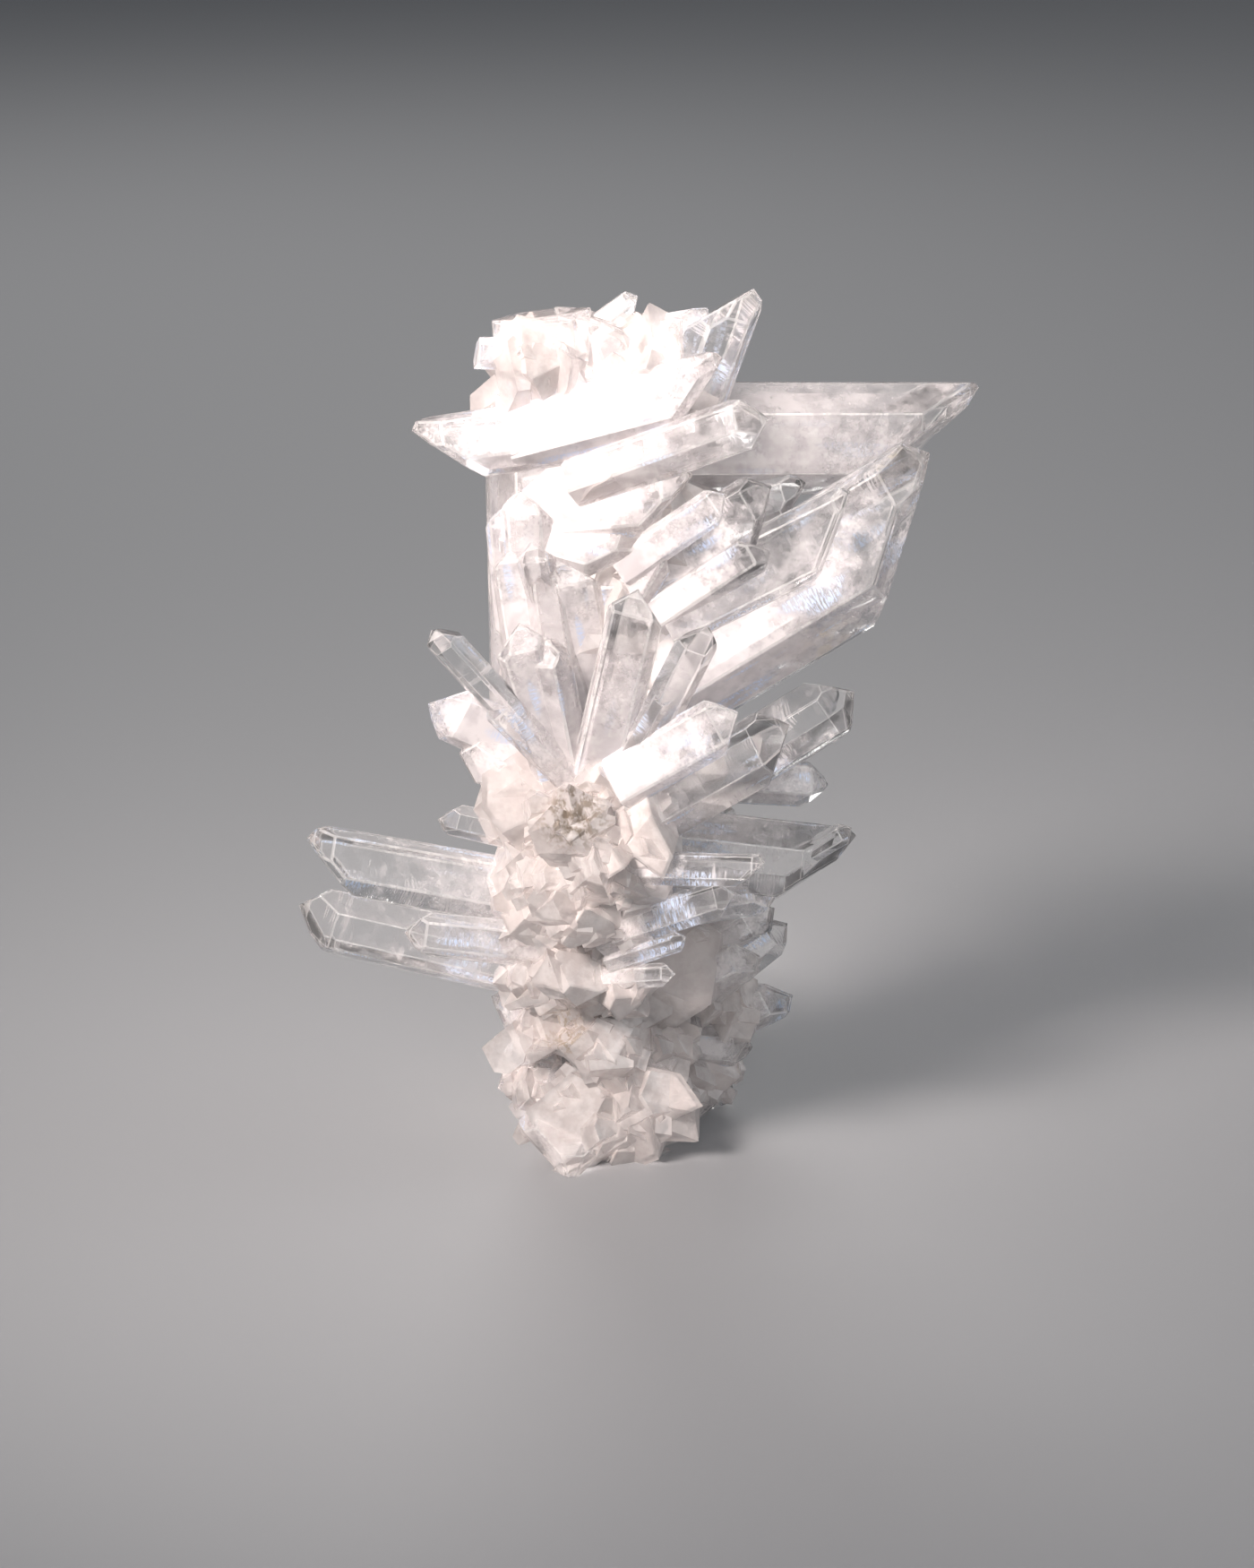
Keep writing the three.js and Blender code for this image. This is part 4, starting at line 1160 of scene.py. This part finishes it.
@dataclass(frozen=True)
class CloudQuartz(Finish):
    """Milky cloud inside a clear crystal: white where the veil's mask is, else nothing.

    at_surface adds what lies just under the faces, growth lines, and painted light: white lines on the
    narrow faces along the crystals' edges as a painted highlight, and blue-white flecks as painted
    reflections of blue sky light. Such milk lets the lamps' light through.
    """

    name: str = "cloud_quartz"
    colour: tuple[float, float, float, float] = (0.92, 0.87, 0.865, 1)
    shade: tuple[float, float, float, float] = (0.74, 0.69, 0.695, 1)
    # near-white colour of the painted highlight on the narrow faces along the crystals' edges
    rim_highlight_colour: tuple[float, float, float, float] = (1.0, 0.97, 0.95, 1)
    density: float = 0.75
    cloud_mm: float = 4.0
    lines: float = 0.5
    # strength of that painted highlight, as white milk on those narrow faces
    rim_highlights: float = 0.6
    # strength of the painted blue reflections; the colour below is their blue
    painted_blue_glint: float = 0.8
    blue: tuple[float, float, float, float] = (0.66, 0.78, 1.0, 1)
    at_surface: bool = False

    def build(self, effects: SurfaceEffects) -> bpy.types.Material:
        """Build the material.

        Args:
            effects: the shared groups.

        Returns:
            The material.
        """
        material, net, shader = self.start()
        place = net.place()
        tone = net.ramp(net.noise(place, 420.0, 2.0, 0.65), 0.38, 0.58)
        rim = net.face("rim")
        # painted highlight: the narrow faces along the crystals' edges take the near-white highlight colour
        colour = net.mix(rim, net.mix(tone, self.shade, self.colour), self.rim_highlight_colour)
        milk = net.add("Group", {"Density": self.density, "Cloud size mm": self.cloud_mm},
                       node_tree=effects.veil).outputs[0]
        tones = net.ramp(net.face("tone"), 0.0, 1.0, 0.35, 1.0)
        if self.at_surface:
            grown = net.add("Group", node_tree=effects.growth_lines).outputs["Height"]
            streaks = net.times(net.ramp(grown, 0.42, 0.6), self.lines)
            # painted highlight: milk raised towards white on the narrow faces along the edges, drawing
            # bright lines
            rim_highlights = net.times(rim, self.rim_highlights, net.ramp(grown, 0.2, 0.6, 0.5, 1.0))
            # painted reflection: blue-white flecks in bands that stand in for blue sky light glinting off
            # the faces
            painted_blue_glint = net.add("Group", node_tree=effects.painted_blue_glint).outputs[0]
            colour = net.mix(painted_blue_glint, colour, self.blue)
            milk = net.math("MAXIMUM", net.times(net.math("MAXIMUM", milk, streaks), tones), rim_highlights)
            milk = net.math("MAXIMUM", milk, net.times(painted_blue_glint, self.painted_blue_glint))
            self.pass_lamps(material, net, shader)
        else:
            milk = net.times(milk, tones)
        net.fill(shader, {"Base Color": self.stain(net, effects, colour, IRON), "Roughness": 0.6,
                          "Specular IOR Level": 0.2, "Alpha": milk})
        return material


@dataclass
class CrystalGroup:
    """Crystals grown into one skin."""

    name: str
    crystals: list[Crystal]
    finish: bpy.types.Material
    bevel: float = 0.1

    def build(self, workshop: Workshop) -> bpy.types.Object:
        """Raise each crystal and join them.

        Args:
            workshop: makes and joins the meshes.

        Returns:
            The joined piece.
        """
        raised = []
        for k, crystal in enumerate(self.crystals):
            piece = workshop.raise_facets(f"{self.name}_{k}", crystal.facets(), self.bevel, self.finish)
            workshop.map_crystal(piece, crystal)
            raised.append(piece)
        return workshop.join(self.name, raised)


@dataclass
class Milk:
    """Milk inside the crystals: slimmer copies of them, which may stop short of the point."""

    name: str
    crystals: list[Crystal]
    finish: bpy.types.Material
    slim: float
    rim: float = 0.0
    short: bool = False

    def build(self, workshop: Workshop) -> bpy.types.Object:
        """Raise the copies and join them.

        Args:
            workshop: makes and joins the meshes.

        Returns:
            The joined piece.
        """
        raised = []
        for k, crystal in enumerate(self.crystals):
            full = crystal.habit is Habit.MILKY or not self.short
            share = 0.97 if full else min(0.9, crystal.cloud + 0.3)
            copy = shape_behind(*crystal.planes(self.slim, share))
            piece = workshop.raise_facets(f"{self.name}_{k}", copy, self.rim, self.finish)
            workshop.map_crystal(piece, crystal, share)
            raised.append(piece)
        return workshop.join(self.name, raised)


@dataclass
class BrokenBody:
    """The broken body: big lumps, and where shards is set, fragments and chips on them."""

    name: str
    lumps: list[Lump]
    finish: bpy.types.Material
    core: float = 0.9
    shards: bool = True

    def shapes(self) -> list[Lump]:
        """Return the lumps, the fragments and the chips."""
        found = []
        for k, lump in enumerate(self.lumps):
            found.append(replace(lump, radii=tuple(self.core * r for r in lump.radii)))
            if self.shards:
                size = float(np.mean(lump.radii))
                found += lump.fragments(FRAGMENTS, FRAGMENT_DEPTH, FRAGMENT_SIZE * size, 400 + 20 * k)
                found += lump.fragments(int(CHIPS_PER_MM * size), CHIP_DEPTH, CHIP_MM, 2000 + 60 * k)
        return found

    def build(self, workshop: Workshop) -> bpy.types.Object:
        """Raise every shape and join them.

        Args:
            workshop: makes and joins the meshes.

        Returns:
            The joined body.
        """
        raised = []
        for k, shape in enumerate(self.shapes()):
            piece = workshop.raise_facets(f"{self.name}_{k}", shape.facets(), 0, self.finish)
            workshop.mark_faces(piece, "tone", workshop.chance_of)
            raised.append(piece)
        return workshop.join(self.name, raised)


@dataclass
class Studio:
    """Floor, soft lights and camera."""

    centre: np.ndarray
    floor_size: float = 3.0

    def build(self) -> None:
        """Set up all of it."""
        self.build_floor()
        self.build_world()
        self.add_light("key", (-0.15, -0.14, 0.24), 0.07, 0.14, (1.0, 0.92, 0.885), KEY_SPREAD)
        self.add_light("front", (0.05, -0.60, 0.30), 0.40, 0.75, (0.96, 0.98, 1.0))
        self.add_light("right", (0.50, 0.05, 0.25), 0.25, 0.25, (0.90, 0.95, 1.0))
        self.add_light("back", (-0.10, 0.50, 0.40), 0.30, 0.9, (1.0, 0.98, 0.96))
        self.build_camera()

    def build_floor(self) -> None:
        """Lay a plain pale floor."""
        half = self.floor_size / 2
        mesh = bpy.data.meshes.new("floor")
        mesh.from_pydata([(-half, -half, 0), (half, -half, 0), (half, half, 0), (-half, half, 0)],
                         [], [(0, 1, 2, 3)])
        floor = bpy.data.objects.new("floor", mesh)
        bpy.context.scene.collection.objects.link(floor)
        material = bpy.data.materials.new("floor")
        material.use_nodes = True
        shader = material.node_tree.nodes["Principled BSDF"]
        shader.inputs["Base Color"].default_value = (0.45, 0.45, 0.46, 1)
        shader.inputs["Roughness"].default_value = 0.6
        mesh.materials.append(material)

    @staticmethod
    def build_world() -> None:
        """Fill the room with even, dim light."""
        world = bpy.data.worlds.new("room")
        world.use_nodes = True
        background = world.node_tree.nodes["Background"]
        background.inputs["Color"].default_value = (0.42, 0.44, 0.47, 1)
        background.inputs["Strength"].default_value = 0.34
        bpy.context.scene.world = world
        bpy.context.scene.view_settings.view_transform = "Standard"

    @staticmethod
    def add_light(name: str, place: Place, size: float, power: float,
                  colour: tuple[float, float, float], spread: float = math.pi) -> None:
        """Add a soft square light that faces the middle of the cluster.

        Args:
            name: the light's name.
            place: where it stands in metres.
            size: its side in metres.
            power: its power in watts.
            colour: its colour.
            spread: the angle that its light opens to.
        """
        light = bpy.data.lights.new(name, "AREA")
        light.spread = spread
        light.size, light.energy, light.color = size, power, colour
        lamp = bpy.data.objects.new(name, light)
        lamp.location = place
        aim = LAMP_AIM - Vector(place)
        lamp.rotation_euler = aim.to_track_quat("-Z", "Y").to_euler()
        bpy.context.scene.collection.objects.link(lamp)

    def build_camera(self) -> None:
        """Set the camera where the photograph was taken from."""
        camera = bpy.data.cameras.new("camera")
        camera.lens, camera.sensor_fit, camera.sensor_height = LENS_MM, "VERTICAL", FILM_MM
        camera.clip_start = 0.01
        holder = bpy.data.objects.new("camera", camera)
        target = np.array([0, 0, VIEW_CENTRE_HEIGHT]) - self.centre
        holder.location = (target + TOWARDS_VIEW * VIEW_DISTANCE) * MM
        holder.rotation_euler = (math.pi / 2 - VIEW_RISE, 0, 0)
        bpy.context.scene.collection.objects.link(holder)
        bpy.context.scene.camera = holder


def report(piece: bpy.types.Object) -> None:
    """Log a piece's name and triangle count."""
    piece.data.calc_loop_triangles()
    LOG.info("%s: %d triangles", piece.name, len(piece.data.loop_triangles))


def main() -> None:
    """Build the cluster, its finishes and the studio."""
    logging.basicConfig(level=logging.INFO, format="%(message)s")
    specimen = Specimen()
    workshop = Workshop(specimen.centre)
    effects = SurfaceEffects()
    clear = CrystalSkin("clear_quartz", clear=0.94).build(effects)
    rough = MilkyQuartz("rough_quartz").build(effects)
    heart = CloudQuartz("heart_quartz", density=0.95, cloud_mm=5.0).build(effects)
    veil = CloudQuartz("veil_quartz", density=0.75, cloud_mm=2.5, at_surface=True).build(effects)
    glassy = CrystalSkin("broken_quartz", clear=0.45, rough=0.1, broken=True, cloud_scale=520.0,
                         colour=(0.95, 0.91, 0.89, 1), shade=(0.80, 0.74, 0.72, 1),
                         deep=(0.70, 0.64, 0.62, 1)).build(effects)
    parts = [
        BrokenBody("quartz_body", specimen.lumps, rough, core=0.82, shards=False),
        BrokenBody("body_shards", specimen.lumps, glassy),
        CrystalGroup("crystals", specimen.crystals, clear),
        Milk("milky_hearts", specimen.of(Habit.VEILED, Habit.MILKY), heart, slim=0.66, short=True),
        Milk("milky_veils", specimen.crystals, veil, slim=0.95, rim=0.16),
    ]
    for part in parts:
        report(place_in_frame(part.build(workshop)))
    Studio(specimen.centre).build()
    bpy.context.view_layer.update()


if __name__ == "__main__":
    main()
